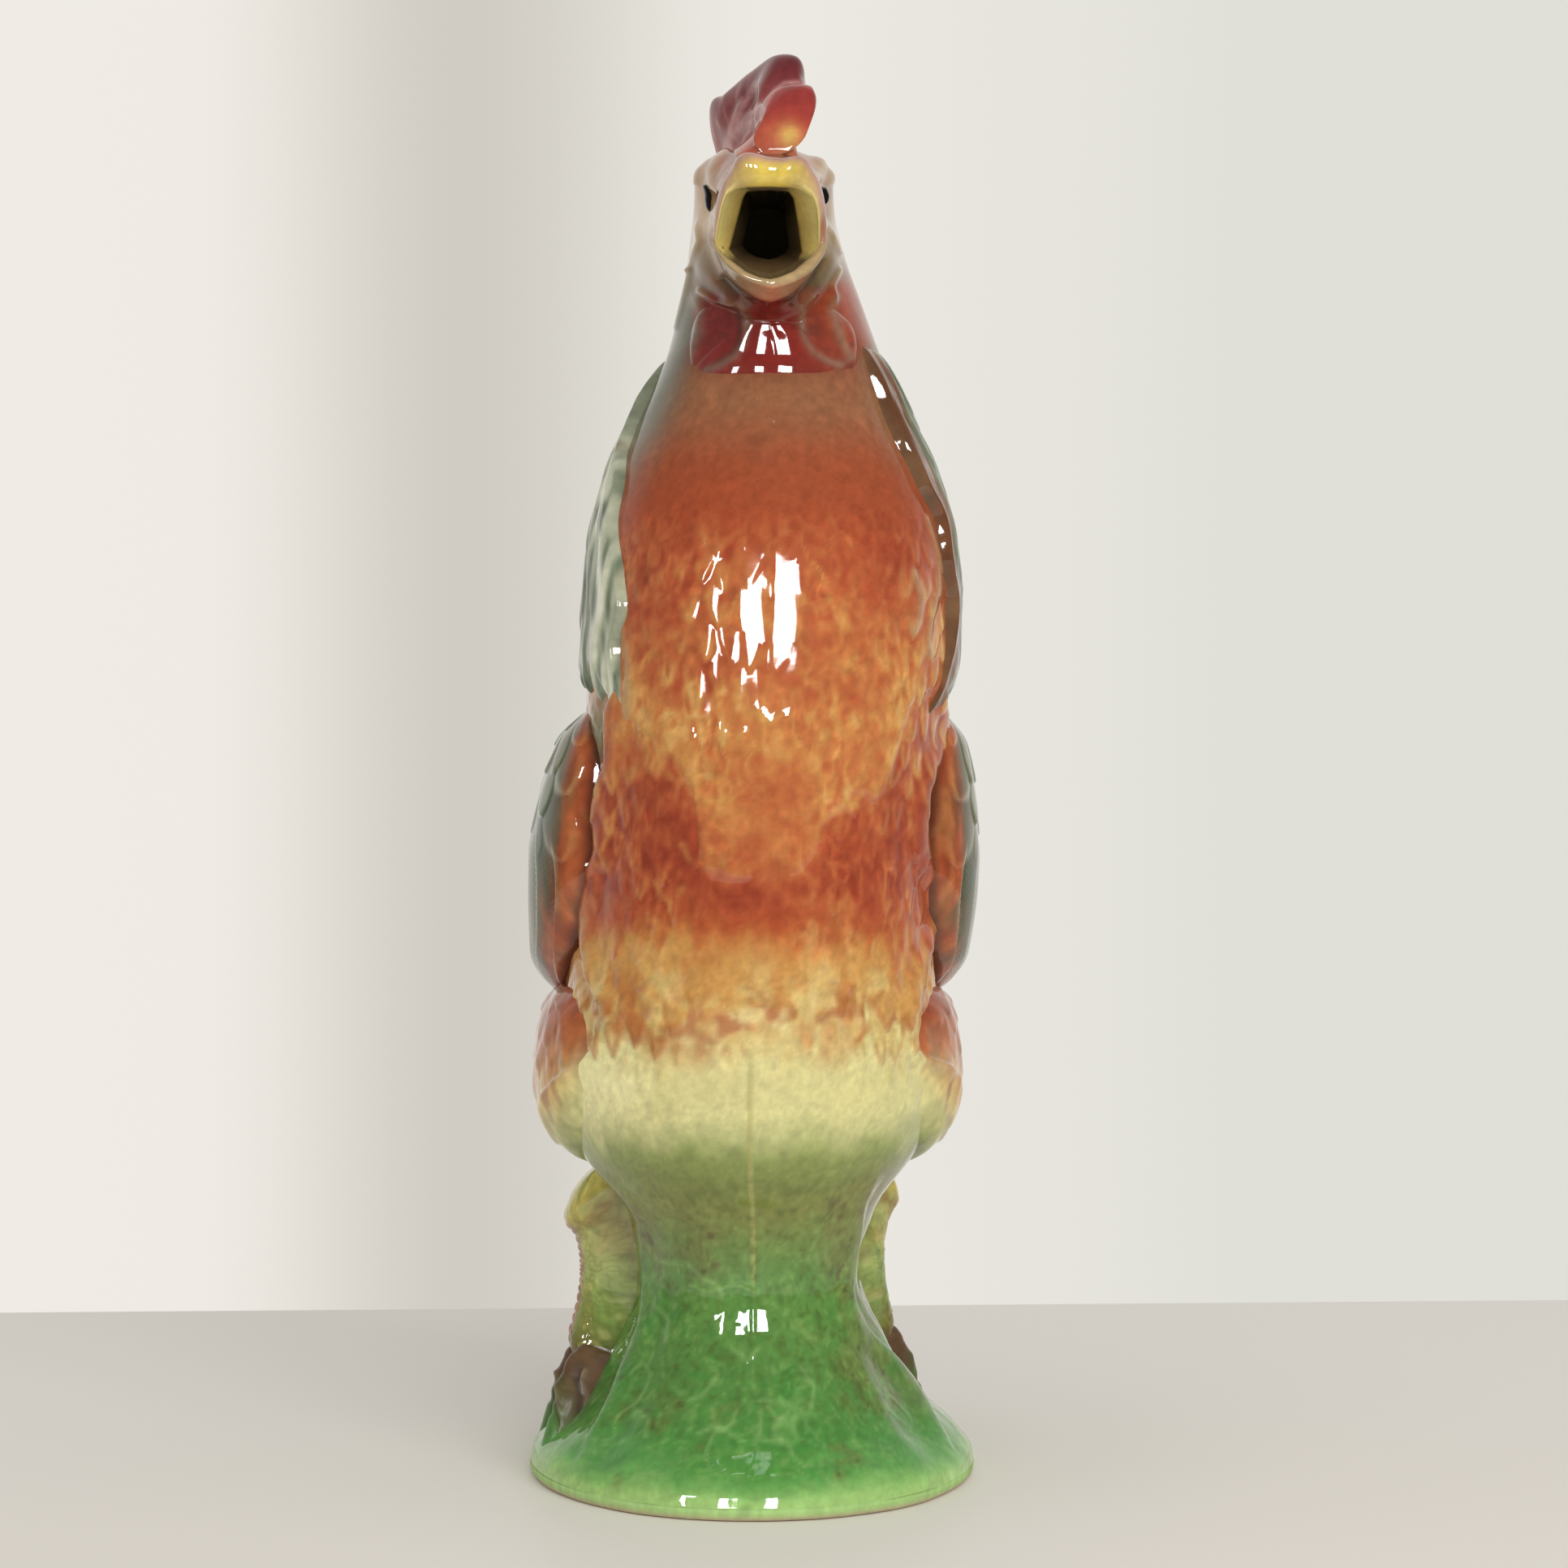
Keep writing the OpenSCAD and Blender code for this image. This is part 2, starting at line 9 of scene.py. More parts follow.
import bpy
import numpy as np
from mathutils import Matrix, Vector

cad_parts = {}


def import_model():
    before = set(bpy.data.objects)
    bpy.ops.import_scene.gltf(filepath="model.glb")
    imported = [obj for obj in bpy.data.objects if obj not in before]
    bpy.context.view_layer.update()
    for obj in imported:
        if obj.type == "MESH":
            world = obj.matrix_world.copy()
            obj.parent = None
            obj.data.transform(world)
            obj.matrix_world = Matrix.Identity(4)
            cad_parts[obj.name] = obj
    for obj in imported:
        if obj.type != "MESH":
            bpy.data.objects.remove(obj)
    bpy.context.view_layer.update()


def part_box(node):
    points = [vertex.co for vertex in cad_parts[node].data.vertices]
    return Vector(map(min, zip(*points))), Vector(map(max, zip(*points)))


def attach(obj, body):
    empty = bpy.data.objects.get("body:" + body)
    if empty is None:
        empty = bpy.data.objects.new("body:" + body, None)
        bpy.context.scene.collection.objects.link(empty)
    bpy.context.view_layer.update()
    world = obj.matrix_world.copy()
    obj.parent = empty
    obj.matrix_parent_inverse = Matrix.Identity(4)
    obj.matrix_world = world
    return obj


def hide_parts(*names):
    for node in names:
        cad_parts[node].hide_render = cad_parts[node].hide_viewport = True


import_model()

MM = 0.001


def low(node):
    """Lower corner of a node's box, in millimetres."""
    return np.array(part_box(node)[0]) / MM


def high(node):
    """Upper corner of a node's box, in millimetres."""
    return np.array(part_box(node)[1]) / MM


# Sizes that the frame gives
foot_h = high("foot")[2]
waist_z = high("base")[2]
neck_z = high("body")[2]
throat_z = high("neck")[2]
base_w = high("base")[0] - low("base")[0]
base_front = -low("base")[1]
base_back = high("base")[1]
wing_top_z = high("left_wing")[2]
wing_tip_z = low("left_wing")[2]
hackle_top_z = high("hackle_cape")[2]
hackle_low_z = low("hackle_cape")[2]
tail_top_z = high("tail")[2]

# Sizes of the vessel between the nodes' ends, as in the construction
waist_w, waist_front, waist_back = 56.4, 38.5, 40.5
body_w, body_front, body_back, body_sway = 96, 61.5, 67, 5
head_w, head_below, head_above = 51.6, 36, 28
beak_l, beak_lift, mouth_w, mouth_below, mouth_above = 22, 6.5, 26.4, 10.5, 19.5
wall_t, floor_t, crown_t, lip_t, beak_t = 4.5, 4, 6, 3, 1.8
mouth_tilt, beak_tilt = 93, 84
tilt_share, crown_share, feel_share, feel_angle = 0.0037, 0.5, 0.004, 2
round_power, mouth_low_power, mouth_high_power = 2.1, 1.4, 3

# Share of the height from foot to waist, share of the way from lip to waist
FLARE_shares = [[0, 0], [0.08, 0.06], [0.26, 0.44], [0.51, 0.76], [0.8, 0.98], [1, 1]]
# Share of the height from waist to throat, then shares of the half width, front, back and sway
BODY_shares = [
    [0.05, 0.67, 0.68, 0.69, 0],
    [0.095, 0.81, 0.77, 0.79, -0.1],
    [0.138, 0.93, 0.86, 0.88, -0.15],
    [0.191, 0.99, 0.92, 0.94, -0.15],
    [0.267, 0.96, 0.97, 0.985, -0.1],
    [0.369, 0.93, 0.99, 1, 0.1],
    [0.48, 0.92, 1, 0.97, 0.32],
    [0.591, 0.92, 1, 0.91, 0.68],
    [0.693, 0.93, 0.96, 0.836, 0.92],
    [0.782, 0.905, 0.895, 0.746, 1],
    [0.858, 0.81, 0.8, 0.657, 1],
    [0.916, 0.69, 0.69, 0.567, 1],
    [0.969, 0.59, 0.595, 0.47, 1.1],
]
# Shares of the tilt, beak's length and lift, then of the way to the mouth's width and depths below
# and above, the share of the sway, and the shares of the way to the mouth's wall and outline
HEAD_shares = [
    [0, 0, 0, 0, 0, 0, 1.1, 0, 0],
    [0.19, 0.02, 0.28, 0.3, 0.08, 0.35, 0.95, 0.05, 0.15],
    [0.41, 0.05, 0.4, 0.58, 0.16, 0.18, 0.65, 0.2, 1.1],
    [0.61, 0.11, 0.49, 0.75, 0.35, 0.47, 0.5, 0.35, 1.8],
    [0.785, 0.25, 0.58, 0.95, 0.55, 0.88, 0.42, 0.6, 1.3],
    [0.903, 0.48, 0.68, 0.98, 0.78, 1, 0.45, 0.8, 1],
    [0.968, 0.73, 0.82, 1, 0.92, 0.95, 0.48, 0.95, 1],
    [1, 1, 1, 1, 1, 1, 0.5, 1, 1],
]


# Small helpers

def mix(a, b, share):
    """From a to b by the share of the way."""
    return a + (b - a) * share


def step(x, start, end):
    """0 before start, 1 after end, and smooth between them."""
    t = np.clip((x - start) / (end - start), 0, 1)
    return t * t * (3 - 2 * t)


def hill(x, middle, reach):
    """1 at the middle, falling smoothly to 0 at the reach."""
    return 1 - step(np.abs(x - middle), 0, reach)


def unit(v):
    """Directions of length 1."""
    return v / np.linalg.norm(v, axis=-1, keepdims=True)


def noise(points, size, seed):
    """Smooth noise from -1 to 1 whose lumps are about as large as size."""
    table = np.random.default_rng(seed).random((32, 32, 32)) * 2 - 1
    cell = np.asarray(points) / size + 0.37 * seed
    whole = np.floor(cell).astype(int)
    t = cell - whole
    t = t * t * (3 - 2 * t)
    total = 0
    for corner in itertools.product((0, 1), repeat=3):
        weight = np.prod(np.where(corner, t, 1 - t), axis=-1)
        i, j, k = np.moveaxis((whole + corner) % 32, -1, 0)
        total = total + weight * table[i, j, k]
    return total


def rough_noise(points, size, seed, octaves=3):
    """Noise with finer noise on top."""
    return sum(noise(points, size / 2 ** k, seed + k) / 2 ** k for k in range(octaves)) / 1.6


# The skin of the vessel

def at_tilt(tilt):
    """The place along the skin at which a ring is tilted that far."""
    return throat_z * (1 + tilt * tilt_share)


def level_ring(z, half_w, front, back, sway):
    """A ring of the skin that isn't tilted: its place, half width, middle and tilt, depths below and above,
    sway, powers of its two halves, and the wall's thickness at its sides, below and above."""
    middle = (front + back) / 2
    return [z, half_w, -front, z, 0, middle, middle, sway, round_power, round_power, wall_t, wall_t, wall_t]


def base_ring(share):
    """A ring of the flared base, from its row of shares."""
    return level_ring(
        mix(foot_h, waist_z, share[0]),
        mix(base_w, waist_w, share[1]) / 2,
        mix(base_front, waist_front, share[1]),
        mix(base_back, waist_back, share[1]),
        0,
    )


def body_ring(share):
    """A ring of the body or neck, from its row of shares."""
    return level_ring(
        mix(waist_z, throat_z, share[0]),
        body_w / 2 * share[1],
        body_front * share[2],
        body_back * share[3],
        body_sway * share[4],
    )


def head_ring(share):
    """A ring of the head or beak, from its row of shares, tilted towards the mouth."""
    return [
        at_tilt(mouth_tilt * share[0]),
        mix(head_w, mouth_w, share[3]) / 2,
        -head_below - beak_l * share[1],
        throat_z + beak_lift * share[2],
        mouth_tilt * share[0],
        mix(head_below, mouth_below, share[4]),
        mix(head_above, mouth_above, share[5]),
        body_sway * share[6],
        mix(round_power, mouth_low_power, share[7] ** 2),
        mix(round_power, mouth_high_power, share[8]),
        mix(wall_t, beak_t, share[7]),
        mix(wall_t, lip_t, share[7]),
        mix(wall_t, crown_t, min(1, share[0] / crown_share)),
    ]


RINGS = np.array(
    [base_ring(share) for share in FLARE_shares]
    + [body_ring(share) for share in BODY_shares]
    + [head_ring(share) for share in HEAD_shares],
    float,
)


def blend(rows, s):
    """Blends the rows of a table smoothly over its first column."""
    rows = np.asarray(rows, float)
    s = np.asarray(s, float)
    last = len(rows) - 1
    i = np.clip(np.searchsorted(rows[:, 0], s, side="right") - 1, 0, last - 1)
    after = rows[np.minimum(np.arange(last + 1) + 1, last)]
    before = rows[np.maximum(np.arange(last + 1) - 1, 0)]
    slopes = (after - before) / (after[:, :1] - before[:, :1])
    gap = (rows[i + 1, 0] - rows[i, 0])[..., None]
    u = (s[..., None] - rows[i, 0][..., None]) / gap
    v = 1 - u
    return (
        rows[i] * (1 + 2 * u) * v * v
        + rows[i + 1] * (3 - 2 * u) * u * u
        + (slopes[i] * v - slopes[i + 1] * u) * gap * u * v
    )


def curve(x, power):
    """A cosine or sine bent so that an oval grows squarer with its power."""
    return np.sign(x) * np.abs(x) ** (2 / power)


def skin(s, angle, deep=0):
    """Points of the wall: deep is 0 on its outside and 1 on its inside."""
    ring = blend(RINGS, s)
    turn = np.radians(angle)
    below = np.sin(turn) < 0
    power = np.where(below, ring[..., 8], ring[..., 9])
    side = (ring[..., 1] - deep * ring[..., 10]) * curve(np.cos(turn), power)
    depth = np.where(below, ring[..., 5] - deep * ring[..., 11], ring[..., 6] - deep * ring[..., 12])
    reach = ring[..., 5] + depth * curve(np.sin(turn), power)
    tilt = np.radians(ring[..., 4])
    y, z = ring[..., 2] + reach * np.cos(tilt), ring[..., 3] + reach * np.sin(tilt)
    return np.stack([ring[..., 7] + side, y, z], -1)


def outward(s, angle):
    """Direction away from the wall."""
    feel = feel_share * throat_z
    return unit(np.cross(
        skin(s, angle + feel_angle) - skin(s, angle - feel_angle),
        skin(s + feel, angle) - skin(s - feel, angle),
    ))


class Spots:
    """Spots of the skin: place along it, angle, point, outward normal and millimetres per degree."""

    def __init__(self, s, angle):
        self.s, self.angle = np.broadcast_arrays(np.asarray(s, float), np.asarray(angle, float))
        self.point = skin(self.s, self.angle)
        self.out = outward(self.s, self.angle)
        ahead, behind = skin(self.s, self.angle + 1), skin(self.s, self.angle - 1)
        self.per_degree = np.linalg.norm(ahead - behind, axis=-1) / 2
        self.z = self.point[..., 2]

    def round(self):
        """The angle from 90 to 450, so that the front has no break."""
        return (self.angle - 90) % 360 + 90

    def off_back(self):
        """Degrees from the middle of the back, to either side."""
        return 180 - np.abs((self.round() - 90) % 360 - 180)


def contour(points, s):
    """The angle of an edge that runs along the skin, from its chosen (place, angle) points."""
    rows = np.array(sorted(points), float)
    return blend(rows, np.clip(s, rows[0, 0], rows[-1, 0]))[..., 1]


# Feathers

class Plumage:
    """What rows of feathers give at each spot: height, share of the way to the tip, a tint of each
    feather's own, and how near the spot is to the tip's rim."""

    def __init__(self, shape):
        self.height, self.tip, self.tint, self.rim = (np.zeros(shape) for _ in range(4))


def feathers(column, row, lap, seed, soft=0.16, wrap=64, pointed=2.0):
    """Rows of overlapping feathers, the upper ones on top, for spots given in columns and rows."""
    table = np.random.default_rng(seed).random((3, 64, 64))
    bare = np.ones(np.shape(column))
    plume = Plumage(np.shape(column))
    first = np.floor(row - lap).astype(int)
    for k in range(int(math.ceil(lap)) + 1):
        r = first + k
        shift = 0.5 * (r % 2)
        c = np.round(column - shift).astype(int)
        chance = table[:, r % 64, (c % wrap) % 64]
        x = column - shift - c + 0.16 * (chance[0] - 0.5)
        y = (row - r + 0.4 * (chance[1] - 0.5)) / lap
        half = 0.57 * np.clip(1 - np.clip((y - 0.45) / 0.55, 0, 1) ** pointed, 0, 1) ** (1 / pointed)
        inside = half - np.abs(x)
        cover = step(inside, 0, soft) * (y > 0)
        weight = bare * cover
        plume.height += weight * np.clip(y, 0, 1) ** 1.6 * (1 - 1.1 * x * x)
        plume.tip += weight * np.clip(y, 0, 1)
        plume.tint += weight * chance[2]
        plume.rim += weight * hill(inside, soft * 0.7, soft * 0.9) * step(y, 0.35, 0.75)
        bare = bare * (1 - cover)
    return plume


# Drawing on the front, as it shows to someone who faces the bird

look_x, look_z, look_far, look_turn = 8.2, 168.8, 850, 3


def seen(points):
    """Where points show from the front, in millimetres on the upright plane through the axis."""
    turn = math.radians(look_turn)
    across = points[..., 0] * math.cos(turn) - points[..., 1] * math.sin(turn)
    away = points[..., 0] * math.sin(turn) + points[..., 1] * math.cos(turn)
    scale = look_far / (look_far + away)
    return np.stack([look_x + (across - look_x) * scale, look_z + (points[..., 2] - look_z) * scale], -1)


def placed(view, y):
    """Points at the depths given that show from the front at the places given."""
    turn = math.radians(look_turn)
    view = np.asarray(view, float)
    across = view[..., 0]
    for _ in range(3):
        x = (across + y * math.sin(turn)) / math.cos(turn)
        scale = look_far / (look_far + x * math.sin(turn) + y * math.cos(turn))
        across = look_x + (view[..., 0] - look_x) / scale
    return np.stack([x, y + 0 * x, look_z + (view[..., 1] - look_z) / scale], -1)


def apart(spots, path):
    """Distance from each seen spot to a drawn path."""
    path = np.array(path, float)
    nearest = np.full(spots.shape[:-1], 1e9)
    for a, b in zip(path[:-1], path[1:]):
        along = b - a
        share = np.clip(((spots - a) @ along) / (along @ along), 0, 1)
        nearest = np.minimum(nearest, np.linalg.norm(spots - a - share[..., None] * along, axis=-1))
    return nearest


def stroke(spots, path, width):
    """1 on a drawn path, fading to 0 at its width."""
    return np.exp(-(apart(spots, path) / width) ** 2 * 2)


def strokes(spots, paths, width):
    """Strokes along several paths, added up."""
    return sum(stroke(spots, path, width) for path in paths)


def dab(spots, x, z, wide, tall):
    """1 at a place, fading softly over a width and a height."""
    return np.exp(-((spots[..., 0] - x) / wide) ** 2 - ((spots[..., 1] - z) / tall) ** 2)


def facing(spots):
    """1 where the wall faces the front, 0 where it faces the back."""
    return step(-spots.out[..., 1], -0.15, 0.2)


# Edges of the front of the bird, as (place, angle)
BREAST_RIGHT = [(78, 186), (84, 184.7), (90, 187), (97, 201), (106, 215), (114, 218), (127, 204),
                (136.5, 200), (145, 200), (152.5, 206), (165, 205), (174, 209), (184, 208), (192, 214)]
BREAST_LEFT = [(78, 340), (84, 346), (90, 351), (97, 348), (104, 328), (112, 327), (123, 333), (130, 340),
               (140, 349), (150, 336), (166, 331), (176, 340), (182, 349), (192, 338)]
MOUND_RIGHT = [(4, 216), (12, 212), (19.5, 208), (26.4, 204), (35.8, 202), (44.4, 196), (56, 196), (68, 208),
               (78, 190)]
MOUND_LEFT = [(4, 332), (10, 338), (16, 346), (23.4, 350), (35.5, 335), (43.7, 330), (51, 331), (60, 327),
              (68, 320), (76, 318)]

seam_angle = 268

# Lower edge of the upper breast, whose feathers lie over the lower ones, as it shows from the front
SHIELD = [(-45.0, 187.3), (-36.1, 185.2), (-29.7, 183.9), (-23.7, 180.5), (-17.8, 175.0), (-13.9, 167.7),
          (-12.7, 153.2), (-9.7, 148.6), (-3.3, 146.0), (5.2, 144.6), (12.0, 146.0), (16.3, 153.2),
          (18.8, 160.9), (25.7, 165.6), (33.3, 167.3), (35.5, 175.4), (37.6, 184.8), (41.8, 191.6),
          (52.9, 194.1)]

# Single feather tips that stand out, as they show from the front
TIPS = [
    [(-19.7, 181.4), (-19.7, 177.1), (-16.5, 175.1), (-14.2, 177.1), (-13.7, 180.5)],
    [(-13.9, 171.6), (-13.5, 166.9), (-10.1, 164.1), (-5.0, 164.7), (-2.4, 167.7)],
    [(-17.1, 153.7), (-15.2, 149.8), (-10.1, 148.0), (-6.7, 149.4)],
    [(-10.1, 153.2), (-6.7, 147.3), (-1.6, 146.0), (1.8, 149.8)],
    [(-23.7, 187.3), (-24.2, 182.2), (-22.0, 180.5), (-20.3, 183.9)],
    [(-29.7, 187.3), (-28.4, 183.9), (-25.0, 180.5)],
    [(18.8, 166.9), (24.0, 162.6), (28.2, 166.9)],
    [(27.4, 172.0), (30.8, 166.9), (33.8, 167.7), (34.6, 172.8)],
    [(15.4, 183.9), (18.8, 178.8), (24.0, 180.5), (24.8, 183.9)],
    [(34.2, 187.3), (34.6, 183.1), (37.2, 184.8), (37.6, 189.0)],
    [(1.8, 187.3), (4.4, 183.9), (9.5, 185.6)],
    [(-7.6, 182.2), (-5.0, 178.8), (-1.6, 181.4)],
    [(-23.7, 144.7), (-22.0, 140.5), (-19.1, 138.8), (-16.9, 143.0)],
]
# Long soft creases on the neck and beside the breast's edge
CREASES = [
    [(-32.3, 209.5), (-30.6, 200.9), (-29.3, 192.4), (-29.7, 185.6)],
    [(-36.1, 224.8), (-34.4, 220.5), (-33.5, 215.4)],
    [(40.1, 221.4), (41.8, 216.3), (41.4, 210.3), (40.1, 206.9)],
    [(43.5, 235.0), (46.5, 225.6), (46.5, 218.0), (44.4, 209.5), (43.5, 200.9)],
]
# Curls and wisps raised on the ground under the bird
WISPS = [
    [(-22.1, 50.0), (-15.5, 49.6), (-12.2, 45.9), (-8.1, 44.3), (-7.3, 41.8)],
    [(-14.7, 44.3), (-10.6, 42.6), (-4.0, 44.3), (0.9, 42.6)],
    [(-13.0, 7.4), (-8.9, 9.0), (-4.8, 7.0), (-2.4, 5.3)],
    [(-28.6, -4.1), (-24.5, -2.5), (-20.4, -3.7)],
    [(-4.8, 28.7), (-0.7, 25.4), (1.3, 27.9)],
    [(4.2, 13.9), (6.6, 10.7), (8.3, 11.5)],
    [(17.3, -2.5), (19.4, -4.9), (21.8, -5.7)],
    [(2.5, 13.1), (2.1, 5.7), (7.5, 5.3)],
    [(-22.9, 38.5), (-20.4, 35.3), (-21.2, 30.3)],
    [(-8.9, 20.5), (-12.2, 16.4), (-15.5, 15.6)],
    [(-28.6, 13.1), (-25.4, 10.7), (-26.2, 6.6)],
    [(12.4, 23.8), (15.7, 18.9), (14.8, 13.9)],
]


def breast_inside(spots):
    """How far a spot lies inside the breast's edges over the wings, in millimetres."""
    angle, s = spots.round(), spots.s
    lumps = 1.1 * noise(spots.point, 9, 11)
    from_right = (angle - contour(BREAST_RIGHT, s)) * spots.per_degree + lumps
    from_left = (contour(BREAST_LEFT, s) - angle) * spots.per_degree + lumps
    return np.minimum(from_right, from_left)


def breast_relief(spots):
    """The breast as a mass of its own, with a rounded edge over the wings."""
    s, inside = spots.s, breast_inside(spots)
    tall = step(s, 80, 96) * (1 - step(s, 186, 200))
    shoulder = 1.7 * step(inside, -0.4, 2.4) * (1 - step(inside, 3, 15))
    gully = -(1 - step(inside, -2.2, 0.6)) * step(inside, -12, -5) * step(s, 104, 128)
    return tall * (shoulder + gully)


def shield_depth(spots):
    """How far a spot of the breast stands above the lower edge of the upper breast, as it shows."""
    view = seen(spots.point)
    edge = np.array(SHIELD)
    jitter = 3 * noise(spots.point, 6, 26) + 1.5 * noise(spots.point, 2.6, 27)
    return view[..., 1] - np.interp(view[..., 0], edge[:, 0], edge[:, 1]) + jitter


# The breast's feathers: columns round the body, length of a row, and where along the skin the rows start
breast_columns, breast_row, breast_top = 44, 8.6, 262


def breast_feathers(spots):
    """The breast's feathers, and how much they show: least along the seam and in worn patches."""
    angle, s = spots.round(), spots.s
    warp = noise(spots.point, 19, 21)
    fine = noise(spots.point, 7, 22)
    column = (angle - 90) / 360 * breast_columns + 0.5 * warp + 0.2 * fine
    row = (breast_top - s) / breast_row + 0.6 * noise(spots.point, 16, 24) + 0.2 * fine
    plume = feathers(column, row, 1.7, 31, soft=0.36, wrap=breast_columns)
    away = np.abs(angle - seam_angle)
    show = mix(0.25, 1, step(away, 6, 28)) * (1 - step(s, 212, 240)) * step(s, 84, 100)
    show = show * mix(0.3, 1, step(noise(spots.point, 24, 25), -0.35, 0.35))
    return plume, show


def seam_relief(spots):
    """The mould's seam down the front."""
    s, away = spots.s, np.abs(spots.round() - seam_angle) * spots.per_degree
    strength = mix(0.25, 1, 1 - step(s, 118, 130)) * (1 - step(s, 226, 250)) * step(s, 24, 44)
    return 0.24 * strength * (1 - step(away, 0.15, 0.75))


def ground_lines(spots):
    """Fine raised squiggles on the ground, as in wrinkled leather."""
    thread = 1 - np.abs(noise(spots.point * [1, 1, 0.8], 7, 44))
    patch = step(noise(spots.point, 13, 45), -0.1, 0.4)
    return step(thread, 0.86, 1) * patch * (1 - step(spots.s, 58, 74)) * step(spots.s, 6, 12)


def mound_relief(spots):
    """The waist's front column stands out of the base, between low banks beside the feet."""
    angle, s = spots.round(), spots.s
    inside = np.minimum(angle - contour(MOUND_RIGHT, s), contour(MOUND_LEFT, s) - angle) * spots.per_degree
    inside = inside + 1.2 * noise(spots.point, 12, 41)
    crest = 1.2 * step(inside, -1, 3) * (1 - step(inside, 4, 13))
    trench = 1.4 * (1 - step(inside, -4.5, 1))
    column = step(s, 5, 16) * (1 - step(s, 66, 80)) * (crest - trench)
    column = np.where(column < 0, column * step(s, 32, 46), column)
    bank = 1.5 * (hill(angle, 196, 32) + hill(angle, 352, 26)) * hill(s, 18, 24)
    return (column + bank) * (1 - step(np.abs(angle - 270), 80, 110))


def ground_relief(spots):
    """The ground under the bird is wrinkled like wet leather, with folds at its sides."""
    angle, s, point = spots.round(), spots.s, spots.point
    wrinkles = 0.2 * rough_noise(point * [1, 1, 0.6], 9, 42) + 0.3 * np.abs(noise(point, 15, 43))
    wrinkles = wrinkles + 0.1 * np.abs(noise(point, 3.4, 47)) * step(noise(point, 12, 48), -0.2, 0.3)
    folds = 0.35 * np.sin(np.radians(angle * 14 + 90 * noise(point, 12, 46)))
    folds = folds * step(np.abs(angle - 270), 36, 52) * (1 - step(s, 40, 60)) * step(s, 6, 14)
    wisps = strokes(seen(point), WISPS, 0.9) * facing(spots)
    return (1 - step(s, 60, 84)) * (wrinkles + folds + 0.18 * wisps + 0.2 * ground_lines(spots))


# Lines of the face, as they show from the front
BROWS = [
    [(-12.4, 317.8), (-11.8, 322.6), (-9.4, 325.2), (-5.8, 326.7)],
    [(-9.7, 317.2), (-9.3, 320.8), (-8.0, 323.8), (-5.8, 326.2)],
    [(11.9, 327.9), (15.0, 325.8), (16.3, 322.9), (16.4, 319.0)],
    [(17.5, 326.1), (18.7, 322.6), (18.5, 317.8)],
]
FOLDS = [
    [(-13.1, 306.6), (-12.4, 303.6), (-13.5, 300.7), (-14.9, 296.5)],
    [(17.5, 309.5), (20.2, 305.4), (21.9, 300.7)],
    [(-12.4, 291.5), (-8.5, 288.8), (-4.4, 288.2)],
    [(20.2, 288.8), (19.6, 293.0), (21.3, 296.5)],
    [(-18.9, 282.3), (-16.8, 289.4), (-14.8, 296.5)],
]
UNDER_LIP = [(-7.4, 294.2), (-1.7, 288.8), (4.8, 286.6), (10.4, 288.5), (14.8, 293.6), (17.5, 298.9)]
SOCKETS = [[(-10.1, 314.9), (-10.0, 313.0), (-9.9, 310.7)], [(17.2, 315.5), (17.4, 313.4), (17.5, 311.2)]]


def head_relief(spots):
    """Brows, sockets, cheeks and the folds beside and under the beak."""
    view, off_back = seen(spots.point), spots.off_back()
    brow = 1.9 * hill(off_back, 58, 34) * hill(spots.s, at_tilt(61), at_tilt(20) - throat_z)
    cheek = 0.8 * hill(off_back, 112, 26) * hill(spots.s, at_tilt(52), at_tilt(26) - throat_z)
    lines = strokes(view, BROWS + FOLDS, 1.1)
    hollow = -0.9 * strokes(view, SOCKETS, 2.2)
    notch = -1.1 * stroke(view, UNDER_LIP, 1.6)
    fold = 0.6 * wattle_rims(view) - 0.5 * wattle_hollows(view)
    return brow + cheek + facing(spots) * (0.75 * lines + hollow + notch + fold)


def vessel_relief(spots):
    """All that stands out of the wall's plain skin, in millimetres."""
    plume, show = breast_feathers(spots)
    s, view, front = spots.s, seen(spots.point), facing(spots)
    deep = shield_depth(spots)
    chest = step(s, 120, 150) * (1 - step(s, 205, 225)) * front
    middle = hill(view[..., 0], 5, 18)
    shield = mix(0.5, 0.12, middle) * step(deep, -1.6, 1.6) * (1 - step(deep, 3, 22)) * chest
    drawn = 0.16 * strokes(view, TIPS, 1.5) + 0.5 * strokes(view, CREASES, 1.1)
    uneven = 0.07 * noise(spots.point, 6, 61) + 0.2 * noise(spots.point, 16, 62)
    tufts = (0.6 + 0.3 * hill(s, 112, 22)) * plume.height * show
    head = head_relief(spots) * step(s, throat_z - 6, throat_z + 10)
    body = breast_relief(spots) + tufts + shield + front * drawn + seam_relief(spots)
    return body + mound_relief(spots) + ground_relief(spots) + head + uneven


# Paint: colours are written as they show, red, green and blue from 0 to 255

# Up the front and up the back of the wall
FRONT_COLOURS = [
    (0, (172, 206, 126)), (4.5, (160, 200, 118)), (9, (98, 160, 79)), (16, (83, 142, 67)),
    (29, (90, 137, 67)), (46, (100, 144, 70)), (52, (102, 142, 70)), (60, (119, 142, 72)),
    (68, (133, 137, 71)), (75, (132, 141, 75)),
    (80, (146, 158, 88)), (86, (192, 194, 130)), (92, (222, 216, 150)), (105, (224, 212, 144)),
    (111, (220, 190, 118)), (117, (214, 162, 90)), (127, (208, 152, 84)), (132, (194, 116, 62)),
    (137, (172, 74, 42)), (150, (168, 68, 40)), (165, (176, 80, 44)),
    (181, (182, 90, 50)), (203, (182, 86, 46)), (219, (172, 76, 42)), (245, (160, 80, 50)),
    (260, (152, 88, 62)), (267, (140, 70, 52)), (272, (118, 45, 38)),
]
